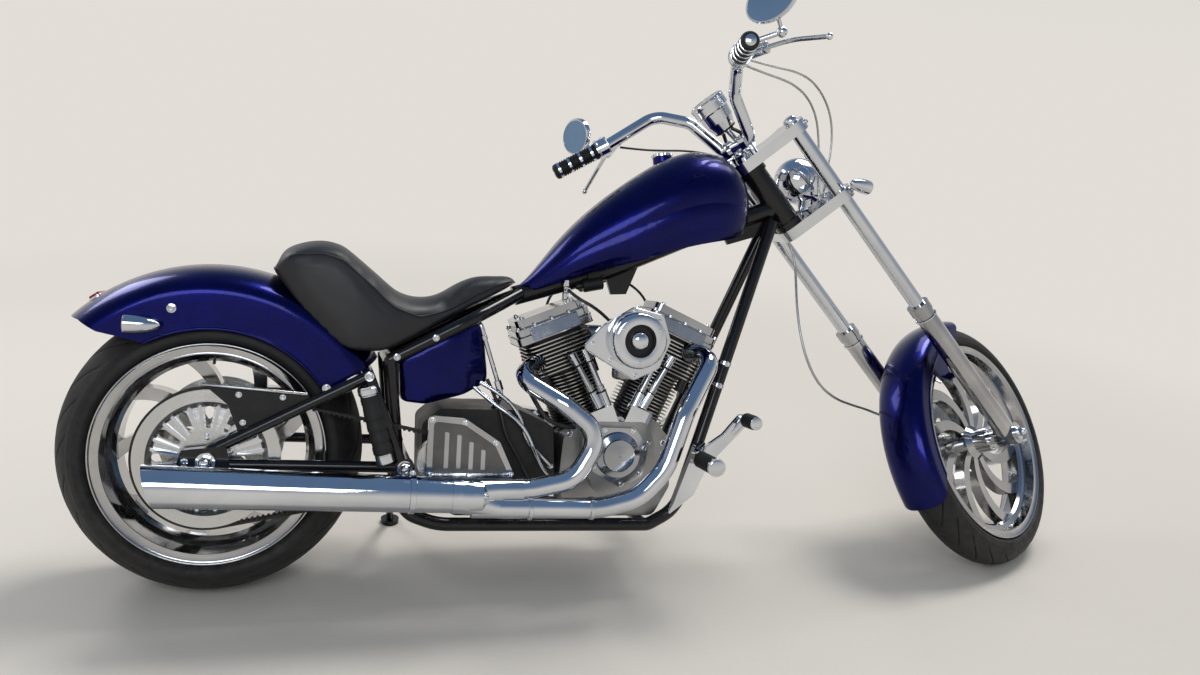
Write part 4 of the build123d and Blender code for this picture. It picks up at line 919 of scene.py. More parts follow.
def oil_tank_skin():
    """Oil tank with swollen sides and a rolled front, and its bright vent pipe."""
    blank = bpy.data.objects.new("oil_tank_blank", frame["nodes"]["oil_tank"].data.copy())
    mesh = even_mesh(blank, TANK_SQUARES)
    bpy.data.objects.remove(blank)
    back = BIKE.inverted()
    bm = bmesh.new()
    bm.from_mesh(mesh)
    relax(bm, bm.verts[:], 5)
    for v in bm.verts:
        x, y, z = back @ v.co
        swell = smooth_step(1.25 - math.hypot((x - 486) / 130, (z - 552) / 120))
        roll = smooth_step((x - 528) / 88)
        side = smooth_step((abs(y) - 40) / 50)
        v.co = BIKE @ Vector((x, y * (1 + (0.13 * swell - 0.27 * roll) * side), z))
    relax(bm, bm.verts[:], 8)
    for face in bm.faces:
        face.smooth = True
    bm.to_mesh(mesh)
    bm.free()
    obj = settle(bpy.data.objects.new("oil_tank_skin", mesh), "chassis", "candy_blue")
    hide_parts("oil_tank")
    route = [(560, -66, 640), (584, -84, 650), (598, -86, 600),
             (640, -86, 482), (646, -84, 462), (628, -60, 436)]
    bent_line("oil_vent_pipe", route, 0.011, BIKE, "chassis", "chrome", 3)
    bm = bmesh.new()
    run = Vector((42, 0, -118)).normalized()
    turn(bm, [(5.5, -13), (8.6, -12), (8.6, 12), (5.5, 13)], (636, -86, 493), run, 6)
    turn(bm, [(5.5, -6), (7.4, -5), (7.4, 5), (5.5, 6)], (596, -86, 606), run, 24)
    piece("oil_vent_nuts", bm, BIKE, "chassis", "chrome")


def seat_welts(seat):
    """Sewn welts where the crowned top meets the sides."""
    tree = BVHTree.FromObject(seat, bpy.context.evaluated_depsgraph_get())
    turned = MACHINE.to_3x3()
    for side in (-1, 1):
        points = []
        inward = Vector((0, -side, -0.8)).normalized()
        for step in range(71):
            x = 150 + 515 * step / 70
            half = between(SEAT_PLAN, x)
            edge = between(SEAT_TOP, x) - between(SEAT_DROP, x)
            origin = Vector((x, side * half, edge)) - inward * 60
            hit = tree.ray_cast(BIKE @ origin, turned @ inward, 0.12)[0]
            if hit:
                points.append(hit - turned @ inward * 0.0003)
        name = "seat_welt_right" if side < 0 else "seat_welt_left"
        curve, spline = round_curve(name, points, 0.0022)
        spline.order_u = 4
        spline.use_endpoint_u = True
        spline.resolution_u = 4
        settle(bpy.data.objects.new(name, curve), "chassis", "black_vinyl")


# Engine
CRANK = Vector((935, 0, 240))
CYLINDER_LEAN = math.radians(22.5)
BARREL_START = 185.0
BARREL_TOP = 320.0
BARREL_PITCH = 9.0
HEAD_TOP = 412.0
HEAD_PITCH = 9.4


def bank(sign):
    """From a cylinder's coordinates (across, left, along) to the machine's."""
    lean = CYLINDER_LEAN * sign
    along = Vector((math.sin(lean), 0, math.cos(lean)))
    across = Vector((math.cos(lean), 0, -math.sin(lean)))
    return axes(across, LEFT, along, CRANK)


def finned_cylinders():
    """Black barrels and heads with bright machined fin edges."""
    cast = bmesh.new()
    edges = bmesh.new()
    for sign in (-1, 1):
        home = bank(sign)
        axis = home.to_3x3() @ UP
        barrel = [(0, 170)]
        level = BARREL_START
        while level < BARREL_TOP - 6:
            fin = [(60, 0), (73, 0), (74.5, 0.8), (74.5, 2.6), (73, 3.4), (60, 3.8)]
            barrel += [(r, level + rise) for r, rise in fin]
            rim = [(73, -0.1), (74.9, 0.6), (74.9, 2.8), (73, 3.5)]
            turn(edges, [(r, level + rise) for r, rise in rim], CRANK, axis, 64)
            level += BARREL_PITCH
        barrel += [(60, BARREL_TOP), (0, BARREL_TOP)]
        turn(cast, barrel, CRANK, axis, 64)
        plate(cast, oblong(136, 120, 28), BARREL_TOP - 2, HEAD_TOP, home)
        for i in range(9):
            level = BARREL_TOP + 4 + HEAD_PITCH * i
            narrow = 1.0 - 0.010 * abs(i - 4)
            plate(cast, oblong(176 * narrow, 148 * narrow, 34), level, level + 3.6, home)
            band(edges, oblong(176.8 * narrow, 148.8 * narrow, 34), level + 0.4, level + 3.2, home)
        stud = [(11, BARREL_TOP - 30), (11, BARREL_TOP + 20), (0, BARREL_TOP + 20)]
        for across, side in ((-62, -54), (62, -54), (-62, 54), (62, 54)):
            turn(cast, stud, home @ Vector((across, side, 0)), axis, 16)
    obj = piece("finned_cylinders", cast, BIKE, "chassis", "black_cast")
    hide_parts("cylinders")
    bright = piece("fin_edges", edges, BIKE, "chassis", "machined_fin")
    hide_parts("cylinders")


def rocker_detail():
    """Bolts, gaskets and bevelled side panels on both rocker boxes."""
    bolts = bmesh.new()
    gaskets = bmesh.new()
    panels = bmesh.new()
    for sign in (-1, 1):
        home = bank(sign)
        axis = home.to_3x3() @ UP
        for side in (-1, 1):
            for across, out in ((-89, 65), (-45, 65.5), (0, 65.5), (45, 65.5), (89, 65)):
                bolt(bolts, home @ Vector((across, side * out, HEAD_TOP + 40)), axis, 4.6)
        for across, side in ((-66, -38), (66, -38), (-66, 38), (66, 38)):
            bolt(bolts, home @ Vector((across, side, HEAD_TOP + 62)), axis, 5.4)
        for level, length, width in ((-0.4, 197, 147), (19.4, 197, 147), (39.2, 193, 143)):
            band(gaskets, oblong(length, width, 18), HEAD_TOP + level, HEAD_TOP + level + 1.4, home)
        for side in (-1, 1):
            ends = [[panels.verts.new(home @ Vector((across, side * out, HEAD_TOP + up)))
                     for out, up in ((72, 3), (82, 5), (76, 37), (72, 38.5))] for across in (-62, 62)]
            join_all(panels, ends)
            for end in ends:
                panels.faces.new(end)
    piece("rocker_panels", panels, BIKE, "chassis", "chrome_painted_darker", bevel=1.6, segments=3)
    piece("rocker_bolts", bolts, BIKE, "chassis", "chrome")
    piece("rocker_gaskets", gaskets, BIKE, "chassis", "black_cast")


CLEANER_CENTRE = Vector((934, 0, 622))
CLEANER_BACK = [
    # x, z
    (806, 600), (848, 650), (930, 700), (1000, 684), (1022, 622), (996, 556), (934, 526), (870, 562),
]
CLEANER_RING = [
    # radius, distance to the right
    (0, 204), (64, 204), (66, 208), (66, 232), (65, 238), (61, 243), (56, 245), (44, 245.6), (38.6, 244.4),
    (36, 240), (35, 230), (0, 230),
]


def air_cleaner_detail():
    """Pointed backing plate, dished ring, black ring in its recess as painted shade, bright centre dome and
    three screws.
    """
    bm = bmesh.new()
    plate(bm, rounded(CLEANER_BACK, 16, 6), -205, -189)
    back = piece("air_cleaner_back", bm, BIKE, "chassis", "chrome", bevel=2.4, segments=3)
    bm = bmesh.new()
    turn(bm, CLEANER_RING, CLEANER_CENTRE, RIGHT, 96)
    ring = piece("air_cleaner_ring", bm, BIKE, "chassis", "chrome")
    bm = bmesh.new()
    # Black ring lining the dished ring's hollow: painted shade.
    turn(bm, [(35.4, 229), (35.4, 238), (33.8, 238), (33, 232), (0, 232)], CLEANER_CENTRE, RIGHT, 64)
    piece("air_cleaner_painted_shade", bm, BIKE, "chassis", "black_satin")
    bm = bmesh.new()
    dome = [(22, 230), (22, 236), (20, 243), (15, 247.6), (8, 249.6), (0, 250)]
    turn(bm, dome, CLEANER_CENTRE, RIGHT, 48)
    for angle in (30, 150, 270):
        out = spoke(math.radians(angle))[0] * 50
        bolt(bm, CLEANER_CENTRE + Vector((out.x, -245, out.y)), RIGHT, 3.6)
    for x, z in ((830, 610), (930, 688), (990, 668), (1008, 622), (938, 538), (876, 572)):
        bolt(bm, (x, -205, z), RIGHT, 4.2)
    piece("air_cleaner_centre", bm, BIKE, "chassis", "chrome")
    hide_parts("air_cleaner")
    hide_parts("air_cleaner")


COVER_BOLTS = [
    # facing, y, size, places (x, z)
    (RIGHT, -142, 4.4, [(866, 306), (862, 350), (890, 398), (962, 396), (992, 354), (984, 292), (938, 266)]),
    (RIGHT, -186, 4.6, [(472, 298), (472, 424), (546, 418), (618, 372), (656, 298), (560, 298)]),
    (RIGHT, -128, 4.0, [(852, 366), (1008, 366), (1006, 276)]),
    (RIGHT, -95, 5.0, [(560, 196), (720, 220), (770, 300), (486, 262), (815, 380), (1056, 360), (1062, 262)]),
    (LEFT, 158, 5.0, [(905, 378), (975, 332), (962, 246), (880, 214), (760, 222), (760, 392), (530, 384),
                      (520, 262), (606, 416)]),
    (LEFT, 166, 4.0, [(610, 368), (567, 343), (567, 293), (653, 343), (653, 293), (610, 268)]),
]


def case_bolts():
    """Cap screws of the engine's and gearbox's covers."""
    bm = bmesh.new()
    for facing, y, size, places in COVER_BOLTS:
        for x, z in places:
            bolt(bm, (x, y, z), facing, size)
    piece("case_bolts", bm, BIKE, "chassis", "chrome")


def pushrod_detail():
    """Sealing rings and spring clips on the pushrod tubes."""
    rings = bmesh.new()
    clips = bmesh.new()
    for sign, foot, across in ((-1, 882, 10), (-1, 904, 44), (1, 966, -44), (1, 988, -10)):
        top = bank(sign) @ Vector((across, -104, BARREL_TOP + 40))
        low = Vector((foot, -112, 446))
        run = (top - low).normalized()
        span = (top - low).length
        for at in (2, 46, span - 32):
            turn(rings, [(8, at - 2), (12.4, at - 2), (12.4, at + 1), (8, at + 1)], low, run, 28)
        turn(clips, [(7, 49), (10.5, 50), (10.5, 62), (7, 63)], low, run, 28)
    piece("pushrod_seals", rings, BIKE, "chassis", "grip_rubber")
    piece("pushrod_collars", clips, BIKE, "chassis", "machined_fin")


MUFFLER_SLOPE = 25 / 687


def joined_pipes(share, angle, gap, pipe, round_end):
    """Distance from the middle to a skin between a round one and the outline of two stacked pipes."""
    rise, beside = math.cos(angle), math.sin(angle)
    both = gap * abs(rise) + math.sqrt(pipe ** 2 - (gap * beside) ** 2)
    return both * share + round_end * (1 - share)


def muffler_axis(x):
    """Point on the muffler's rising axis."""
    return Vector((x, -240, 262 + (577 - x) * MUFFLER_SLOPE))


def pipe_merge():
    """Skin over the place where the two pipes become the muffler."""
    bm = bmesh.new()
    rings = []
    for step in range(19):
        x = 676 - 9 * step
        share = smooth_step((x - 520) / 130)
        middle = Vector((x, -240 + 7 * share, muffler_axis(x).z * (1 - share) + 254 * share))
        ring = []
        for i in range(64):
            angle = math.tau * i / 64
            reach = joined_pipes(share, angle, 20.6, 25.4, 40.4)
            ring.append(bm.verts.new(middle + Vector((0, math.sin(angle), math.cos(angle))) * reach))
        rings.append(ring)
    join_all(bm, rings)
    piece("pipe_merge", bm, BIKE, "chassis", "chrome", sharp=60)


def muffler_detail():
    """Clamp band and dark mouth of the muffler, and clamps on the pipes."""
    along = Vector((-1, 0, MUFFLER_SLOPE)).normalized()
    bm = bmesh.new()
    turn(bm, [(40.6, 0), (43, 1), (43, 13), (40.6, 14)], muffler_axis(436), along, 72)
    bolt(bm, muffler_axis(429) + Vector((0, 4, 46)), RIGHT, 4)
    for place in ((846, -230.4, 229.5), (700, -234, 232.4)):
        turn(bm, [(24.4, 0), (26.8, 1.5), (26.8, 10), (24.4, 11.5)], place, (-1, 0, 0), 48)
    piece("muffler_bands", bm, BIKE, "chassis", "chrome")
    bm = bmesh.new()
    turn(bm, [(38.4, 0), (36, 4), (16, 5), (15, -24), (0, -24)], muffler_axis(-82), along, 48)
    turn(bm, [(38.8, -2), (38.9, 44)], muffler_axis(-80), along, 64)
    everything = bm.verts[:] + bm.edges[:] + bm.faces[:]
    slant = Vector((-144, 0, -43)).normalized()
    bmesh.ops.bisect_plane(bm, geom=everything, plane_co=(-86.6, 0, 236), plane_no=slant, clear_outer=True)
    piece("muffler_mouth", bm, BIKE, "chassis", "soot")


RIMS = [
    # wheel, home, edge radius, inner radius, face
    ("rear", REAR_HUB, 246.0, 222.0, 114.0),
    ("front", FRONT_HUB, 284.0, 263.0, 50.0),
]


def rim_lips():
    """Rolled edge and hollow step on both faces of each rim."""
    for name, home, outer, inner, face in RIMS:
        edge = [(0, -1), (0.2, 3.4), (-0.6, 4.8), (-2.4, 5.2), (-4.0, 4.6), (-5.0, 3.4), (-9, 2.1)]
        step = [(8, 1.1), (3, 0.8), (1.4, 1.4), (-0.2, 1.2), (-0.8, -1)]
        rows = [(outer + r, face + out) for r, out in edge] + [(inner + r, face + out) for r, out in step]
        bm = bmesh.new()
        for side in (-1, 1):
            turn(bm, rows, (0, 0, 0), (0, side, 0), 144)
        piece(f"{name}_rim_lips", bm, home, f"{name}_wheel", "billet_polish", sharp=50)


def gear_cover_panel():
    """Dark panel with bright ribs on the gearbox cover."""
    bm = bmesh.new()
    plate(bm, rounded([(476, 302), (476, 420), (545, 413), (617, 366), (650, 302)], 10, 5), -187.6, -180)
    piece("gear_cover_panel", bm, BIKE, "chassis", "dark_steel", bevel=0.8)
    bm = bmesh.new()
    for x, z, reach in ((506, 398, 88), (534, 392, 82), (562, 376, 66), (590, 358, 48)):
        rib = [(x - 5, z), (x + 5, z - 3), (x + 5, z - reach), (x - 5, z - reach)]
        plate(bm, rounded(rib, 3, 3), -189.4, -184)
    piece("gear_cover_ribs", bm, BIKE, "chassis", "chrome_painted_darker", bevel=0.8)


PULLEY_TEETH = 84
BELT_REACH = 150.3
BELT_DROP = 54.3


def taper(foot, tip, run, wide, narrow):
    """Outline with one half width at its foot and another at its tip."""
    return [tuple(p) for p in (foot - run * wide, tip - run * narrow, tip + run * narrow, foot + run * wide)]


def belt_teeth():
    """Teeth inside both runs of the drive belt, in step with the pulley's gaps."""
    bm = bmesh.new()
    big, small = Vector((0, REAR_RADIUS)), Vector((498, 324))
    gap = small - big
    tilt = math.asin((BELT_REACH - BELT_DROP) / gap.length)
    base = math.atan2(gap.y, gap.x)
    pitch = math.tau / PULLEY_TEETH
    for side in (1, -1):
        angle = base + side * (math.pi / 2 - tilt)
        out = spoke(angle)[0]
        start = big + out * BELT_REACH
        end = small + out * BELT_DROP
        run = (end - start).normalized()
        first = (side * (angle - pitch / 2)) % pitch
        for i in range(int((end - start).length / (BELT_REACH * pitch)) - 1):
            foot = start + run * (BELT_REACH * (first + pitch * i))
            plate(bm, taper(foot, foot - out * 3.4, run, 3.4, 2.0), -158.5, -137.5)
    piece("belt_teeth", bm, BIKE, "chassis", "belt_rubber")


def pulley_teeth():
    """Teeth round the rear pulley's rim, and the ribs on its face."""
    bm = bmesh.new()
    for i in range(PULLEY_TEETH):
        out, run = spoke(math.tau * i / PULLEY_TEETH)
        foot = out * 148.6
        plate(bm, taper(foot, foot + out * 1.5, run, 2.6, 1.6), -158, -138)
    piece("pulley_teeth", bm, REAR_HUB, "rear_wheel", "bright_steel")
    bm = bmesh.new()
    for i in range(12):
        for lean in (9.5, 20.5):
            out, run = spoke(math.radians(30 * i + lean))
            plate(bm, taper(out * 60, out * 116, run, 2.4, 3.8), -156.5, -148)
    piece("pulley_ribs", bm, REAR_HUB, "rear_wheel", "chrome", bevel=1.2)


WHEEL_BOLTS = [
    # wheel, home, bolts (reach, y, facing, size), foot of the air valve, its neck and length
    ("rear", REAR_HUB, [(48, -153, RIGHT, 5.6), (50, 135, LEFT, 5.0)], (0, -60, 222), 26, 34),
    ("front", FRONT_HUB, [(48, 75, LEFT, 4.4), (30, -70, RIGHT, 4.4)], (0, -16, 246), 24, 31),
]


def wheel_bolts():
    """Five bolts of each pulley and disc, and the air valves."""
    for name, home, bolts, foot, neck, length in WHEEL_BOLTS:
        bm = bmesh.new()
        for i in range(5):
            out = spoke(math.tau * (i + 0.3) / 5)[0]
            for reach, y, facing, size in bolts:
                bolt(bm, (reach * out.x, y, reach * out.y), facing, size)
        valve = [(2.6, 0), (2.6, neck), (3.6, neck), (3.6, length), (0, length)]
        turn(bm, valve, foot, (0, -0.72, -0.69), 14)
        piece(f"{name}_wheel_bolts", bm, home, f"{name}_wheel", "chrome")


# Fork, bars and lamps
GRIP_BACK = 118.0


def grip_point(side, back):
    """Point on a grip's axis, a distance in from the bar's end."""
    end = Vector((-228, 342, 1364.3))
    run = Vector((98, -102, -26)).normalized()
    place = end + run * back
    return Vector((place.x, side * place.y, place.z))


def ribbed_grips():
    """Rubber grips with ribs between bright bands."""
    rubber = bmesh.new()
    bright = bmesh.new()
    for side in (-1, 1):
        end = grip_point(side, 0)
        run = (grip_point(side, 100) - end).normalized()
        profile = [(0, -9), (12, -9), (18.5, -6), (20.5, -1)]
        at = 1.0
        while at < 112:
            profile += [(20.8, at), (20.8, at + 3.4), (18.6, at + 4.2), (18.6, at + 6.0)]
            at += 6.8
        profile += [(21.0, 114), (21.0, 118), (16.2, 118)]
        turn(rubber, profile, end, run, 48)
        for at in (4, 34, 66, 99):
            turn(bright, [(18.5, at), (21.9, at + 0.6), (21.9, at + 7.4), (18.5, at + 8)], end, run, 48)
        turn(bright, [(0, -11), (9, -10.6), (12.5, -9), (12.5, -8)], end, run, 32)
    grips = piece("ribbed_grips", rubber, STEER, "steering", "grip_rubber")
    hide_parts("grips")
    piece("grip_bands", bright, STEER, "steering", "chrome")


SIGNAL_SHELL = [
    # radius, forward
    (0, -32), (3, -32), (8.5, -27), (13, -18), (16, -6), (18.2, 8), (19, 14), (19.4, 24),
    (19.6, 32), (19.6, 37), (18.6, 38.4), (16.6, 38), (16.2, 30), (15, 20), (0, 10),
]
HEADLAMP_SHELL = [
    # radius, forward
    (0, -74), (12, -74), (27, -70), (40, -61.5), (51, -48), (58, -34), (62, -20), (64, 4), (66, 40), (71, 48),
    (72, 54), (71.6, 64), (69, 69), (64, 71), (62.4, 68), (61, 60),
]


def signal(shells, lenses, centre, facing):
    """Bullet signal: shell with a bright rim, and a lens set in it."""
    turn(shells, SIGNAL_SHELL, centre, facing, 40)
    turn(lenses, [(16.4, 34), (15.4, 37.6), (12, 40.4), (6, 42), (0, 42.4)], centre, facing, 40)


def front_lights():
    """Headlamp with reflector, bulb shield and glass, and the two front signals on stalks."""
    centre = Vector((158, 0, 932))
    shell = bmesh.new()
    turn(shell, HEADLAMP_SHELL, centre, AHEAD, 96)
    turn(shell, [(11, 0), (11, 96)], (58, 0, 868), Vector((86, 0, 32)), 32)
    for side in (-1, 1):
        stalk = Vector((2, side * 24, 2))
        turn(shell, [(6, 0), (6, 30)], (94, side * 144, 865), stalk, 24)
        turn(shell, [(9, -2), (9, 4), (6, 5)], (94, side * 150, 865), stalk, 24)
    dome_nut(shell, (64, 0, 858), RIGHT, 6)
    ambers = bmesh.new()
    for side in (-1, 1):
        signal(shell, ambers, Vector((96, side * 178, 868)), AHEAD)
    lamps = piece("lamp_shells", shell, STEER, "steering", "chrome")
    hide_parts("front_lamps")
    bowl = bmesh.new()
    turn(bowl, [(61.4, 66), (52, 40), (38, 16), (22, 2), (10, -3), (10, 10), (0, 12)], centre, AHEAD, 72)
    turn(bowl, [(0, 38), (9, 36), (10, 30), (10, 22)], centre, AHEAD, 32)
    # Reflector in the same blue-tinted mirror finish: painted sky reflection.
    piece("headlamp_reflector", bowl, STEER, "steering", "mirror_painted_sky")
    lens = bmesh.new()
    turn(lens, [(62.4, 66), (58, 71), (48, 76), (34, 80.5), (18, 83.4), (0, 84)], centre, AHEAD, 72)
    turn(lens, [(61, 64), (56, 68), (46, 73), (32, 77.5), (17, 80.4), (0, 81)], centre, AHEAD, 72)
    piece("headlamp_glass", lens, STEER, "steering", "clear_lens")
    piece("front_signal_lenses", ambers, STEER, "steering", "amber_lens")


TAIL_LAMP_RISE = math.radians(53)


def rear_lights():
    """Rear signals on stalks and the low tail lamp on the fender."""
    shells = bmesh.new()
    reds = bmesh.new()
    for side in (-1, 1):
        signal(shells, reds, Vector((-132, side * 166, 612)), Vector((-1, 0, 0)))
        turn(shells, [(10, 0), (10, 4), (6, 5), (6, 22)], (-126, side * 138, 612), (0, side, 0), 24)
    lamps = piece("rear_signal_shells", shells, BIKE, "chassis", "chrome")
    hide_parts("rear_lamps")
    piece("rear_signal_lenses", reds, BIKE, "chassis", "red_lens")
    out = Vector((-math.cos(TAIL_LAMP_RISE), 0, math.sin(TAIL_LAMP_RISE)))
    beside = Vector((out.z, 0, -out.x))
    home = axes(beside, LEFT, out, Vector((0, 0, REAR_RADIUS)) + out * 408)
    bm = bmesh.new()
    plate(bm, oblong(30, 98, 10), 0, 9, home)
    base = piece("tail_lamp_base", bm, BIKE, "chassis", "chrome", bevel=1.5)
    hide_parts("rear_lamps")
    bm = bmesh.new()
    plate(bm, oblong(24, 90, 9), 6, 14, home)
    for i in range(-4, 5):
        plate(bm, [(x, y + i * 9.4) for x, y in oblong(22, 3.2, 1.2, 2)], 13, 14.6, home)
    piece("tail_lamp_lens", bm, BIKE, "chassis", "red_lens", bevel=1.0)


MIRROR_RIM = [
    # half length, half height, level
    (66.6, 47.6, 2), (67, 48, 6), (66.6, 47.6, 11), (64.5, 45.5, 13.4), (61.8, 42.8, 13.2), (61.8, 42.8, 9),
]
MIRROR_BACK = [(66.6, 47.6, 2), (60, 42, -3), (44, 31, -7), (22, 16, -9.4), (0.5, 0.4, -10)]


def mirror_faces():
    """Silvered faces with thin bright rims and domed backs, on both mirrors."""
    glass = bmesh.new()
    rims = bmesh.new()
    for side in (-1, 1):
        top = Vector((-64, side * 352, BAR_H + 263))
        facing = Vector((-0.86, side * 0.22, 0.46)).normalized()
        across = Vector((0.25, side * 0.97, 0)).normalized()
        across = (across - facing * across.dot(facing)).normalized()
        upward = facing.cross(across)
        home = axes(across, upward, facing, top)
        ellipse = [(math.cos(math.tau * i / 72), math.sin(math.tau * i / 72)) for i in range(72)]
        plate(glass, [(61.5 * a, 42.5 * b) for a, b in ellipse], 9, 12.6, home)
        for rows in (MIRROR_RIM, MIRROR_BACK):
            rings = [ring_at(rims, [(long * a, short * b) for a, b in ellipse], level, home)
                     for long, short, level in rows]
            join_all(rims, rings)
        rims.faces.new(rings[-1])
    # Blue-tinted mirror finish on the faces: painted sky reflection.
    piece("mirror_glass", glass, STEER, "steering", "mirror_painted_sky", sharp=30)
    piece("mirror_rims", rims, STEER, "steering", "chrome")


DIAL_START = math.radians(225)
DIAL_SWEEP = math.radians(270)


def dial():
    """Speedometer's face, ticks, numbers, needle, bezel and glass."""
    centre = Vector((12, 0, BAR_H + 141))
    home = axes(RIGHT, Vector((1, 0, 0)), UP, centre)
    bm = bmesh.new()
    turn(bm, [(42, 0.2), (0, 0.3)], centre, UP, 64)
    piece("dial_face", bm, STEER, "steering", "dial_black")
    bm = bmesh.new()
    turn(bm, [(47, -6), (48, -2), (47.4, 3), (44.6, 5), (42.4, 4.2), (42, 0)], centre, UP, 72)
    piece("dial_bezel", bm, STEER, "steering", "chrome")
    marks = bmesh.new()
    for i in range(41):
        out, run = spoke(DIAL_START - DIAL_SWEEP * i / 40)
        inner, wide = (34, 0.8) if i % 5 == 0 else (37, 0.4)
        plate(marks, taper(out * inner, out * 39.6, run, wide, wide), 0.3, 0.6, home)
    piece("dial_ticks", marks, STEER, "steering", "dial_white")
    for i in range(9):
        dial_number(i, home)
    bm = bmesh.new()
    out, run = spoke(DIAL_START)
    plate(bm, taper(out * -7, out * 34, run, 1.6, 0.3), 1.2, 1.8, home)
    turn(bm, [(3.6, 0.4), (3.6, 2.4), (2, 3), (0, 3)], centre, UP, 24)
    piece("dial_needle", bm, STEER, "steering", "needle_red")
    bm = bmesh.new()
    turn(bm, [(42.4, 3.4), (30, 4.6), (15, 5.2), (0, 5.4)], centre, UP, 64)
    piece("dial_glass", bm, STEER, "steering", "clear_lens")


def dial_number(i, home):
    """One of the speedometer's nine numbers, in steps of 20."""
    text = bpy.data.curves.new(f"dial_number_{i}", "FONT")
    text.body = str(i * 20)
    text.size = 0.0085
    text.align_x, text.align_y = "CENTER", "CENTER"
    text.extrude = 0.0001
    holder = link(bpy.data.objects.new(f"dial_number_{i}", text))
    mesh = steps_over(holder)
    bpy.data.objects.remove(holder)
    out = spoke(DIAL_START - DIAL_SWEEP * i / 8)[0]
    spot = home @ Matrix.Translation((27 * out.x, 27 * out.y, 0.5))
    mesh.transform(STEER @ spot @ Matrix.Scale(1000, 4))
    settle(bpy.data.objects.new(f"dial_number_{i}", mesh), "steering", "dial_white")


def fork_detail():
    """Stem nut, pinch bolts, clamp caps, reservoir lids, axle caps and caliper bolts."""
    bm = bmesh.new()
    dome_nut(bm, (0, 0, 1098.3), UP, 17)
    for side in (-1, 1):
        for w, h in ((98, 1083.3), (101, 864.7)):
            bolt(bm, (w, side * (FORK_HALF + 30.5), h), (0, side, 0), 5.2)
        turn(bm, [(19, 0), (19, 3), (16, 8), (9, 11), (0, 11.5)], (91, side * FORK_HALF, 1106), UP, 40)
        turn(bm, [(28.6, 0), (31.6, 1), (31.6, 4), (28.6, 5)], (99.5, side * FORK_HALF, 440), UP, 48)
        for y in (-30, 30):
            bolt(bm, (-1, y * side, BAR_H + 20), UP, 3.6)
        for back in (GRIP_BACK + 8, GRIP_BACK + 27):
            bolt(bm, grip_point(side, back) + UP * 24, UP, 3.0)
        dome_nut(bm, (FORK_AHEAD, side * (FORK_HALF + 34), 0), (0, side, 0), 12)
    for w, h in ((-44, 92), (-44, 132), (-84, 110)):
        bolt(bm, (FORK_AHEAD + w, 96.8, h), LEFT, 5)
    piece("fork_fasteners", bm, STEER, "steering", "chrome")


def hand_detail():
    """Reservoir lids, lever pivots and switch buttons on both hand controls."""
    lids = bmesh.new()
    buttons = bmesh.new()
    for side in (-1, 1):
        perch = grip_point(side, GRIP_BACK + 20)
        front = perch + Vector((44, side * 10, -14))
        start = front + Vector((0, side * -24, 4))
        run = Vector((0, side * 58, -12)).normalized()
        turn(lids, [(0, -1.6), (10, -1.6), (14.6, -0.4), (14.9, 4), (14.2, 6)], start, run, 32)
        turn(lids, [(14.2, 52), (14.9, 54), (14.6, 59.4), (10, 60.8), (0, 60.8)], start, run, 32)
        bolt(lids, front + Vector((4, side * 22, 1)), UP, 4.4)
        along = (grip_point(side, 200) - grip_point(side, 0)).normalized()
        for back in (4, 30):
            centre = grip_point(side, GRIP_BACK + back)
            turn(lids, [(25.2, 0), (26.2, 0.8), (26.2, 2.6), (25.2, 3.4)], centre, along, 40)
        for back in (12, 22):
            centre = grip_point(side, GRIP_BACK + back) + Vector((-22, 0, 8))
            turn(buttons, [(4.4, -4), (4.4, 3.6), (3.4, 4.8), (0, 5)], centre, Vector((-1, 0, 0.35)), 20)
    piece("hand_control_caps", lids, STEER, "steering", "chrome")
    piece("switch_buttons", buttons, STEER, "steering", "black_satin")


def dial_bracket():
    """Black forked bracket under the speedometer."""
    bm = bmesh.new()
    for side in (-1, 1):
        foot, top = Vector((22, side * 30, BAR_H + 20)), Vector((14, side * 12, BAR_H + 56))
        length = (top - foot).length
        turn(bm, [(0, 0), (5, 0), (5, length), (0, length)], foot, top - foot, 16)
    turn(bm, [(28.5, 0), (29.6, 1), (29.6, 7), (28.5, 8)], (12, 0, BAR_H + 54), UP, 48)
    piece("dial_bracket", bm, STEER, "steering", "black_frame")


# Chassis fittings
SIDE_BOLTS = [
    # x, distance to the side, z, size: on both sides
    (392, 128.4, 557, 5.2), (478, 128.4, 604, 5.2), (240, 174, 488, 6), (-42, 191, REAR_RADIUS, 5),
    (-83, 138, 647, 6.5), (330, 190, 518, 7),
]


def chassis_fasteners():
    """Bolts, clips, pivot caps and marker bolt on the frame, guard and fender."""
    bm = bmesh.new()
    for side in (-1, 1):
        for x, y, z, size in SIDE_BOLTS:
            bolt(bm, (x, side * y, z), (0, side, 0), size)
        dome_nut(bm, (415, side * 191, 314), (0, side, 0), 13)
        dome_nut(bm, (0, side * 199, REAR_RADIUS), (0, side, 0), 15)
    for x, z in ((150, 466), (60, 470), (70, 410)):
        bolt(bm, (x, -173, z), RIGHT, 4.4)
    for x, z in ((100, 370), (100, 440)):
        bolt(bm, (x, 158.5, z), LEFT, 5)
    piece("chassis_fasteners", bm, BIKE, "chassis", "chrome")


def sleeve(bm, centre, axis, low, high, radius, pitch, steps=36):
    """Rubber sleeve with raised rings."""
    rows = [(radius - 1.6, low), (radius, low + 0.8)]
    at = low + 3
    while at + pitch < high - 2:
        ring = [(0, 0), (1.5, 0.8), (1.5, pitch * 0.55), (0, pitch * 0.7)]
        rows += [(radius + rise, at + along) for rise, along in ring]
        at += pitch
    turn(bm, rows + [(radius, high - 0.8), (radius - 1.6, high)], centre, axis, steps)


RIDER_PEG = (1132, 0, 332)
PEDAL_PAD = (1232, 0, 436)
FOOT_ARM = [
    # x, z
    (1130, 326), (1156, 330), (1196, 372), (1246, 424), (1248, 446), (1222, 448), (1180, 398), (1134, 366),
]


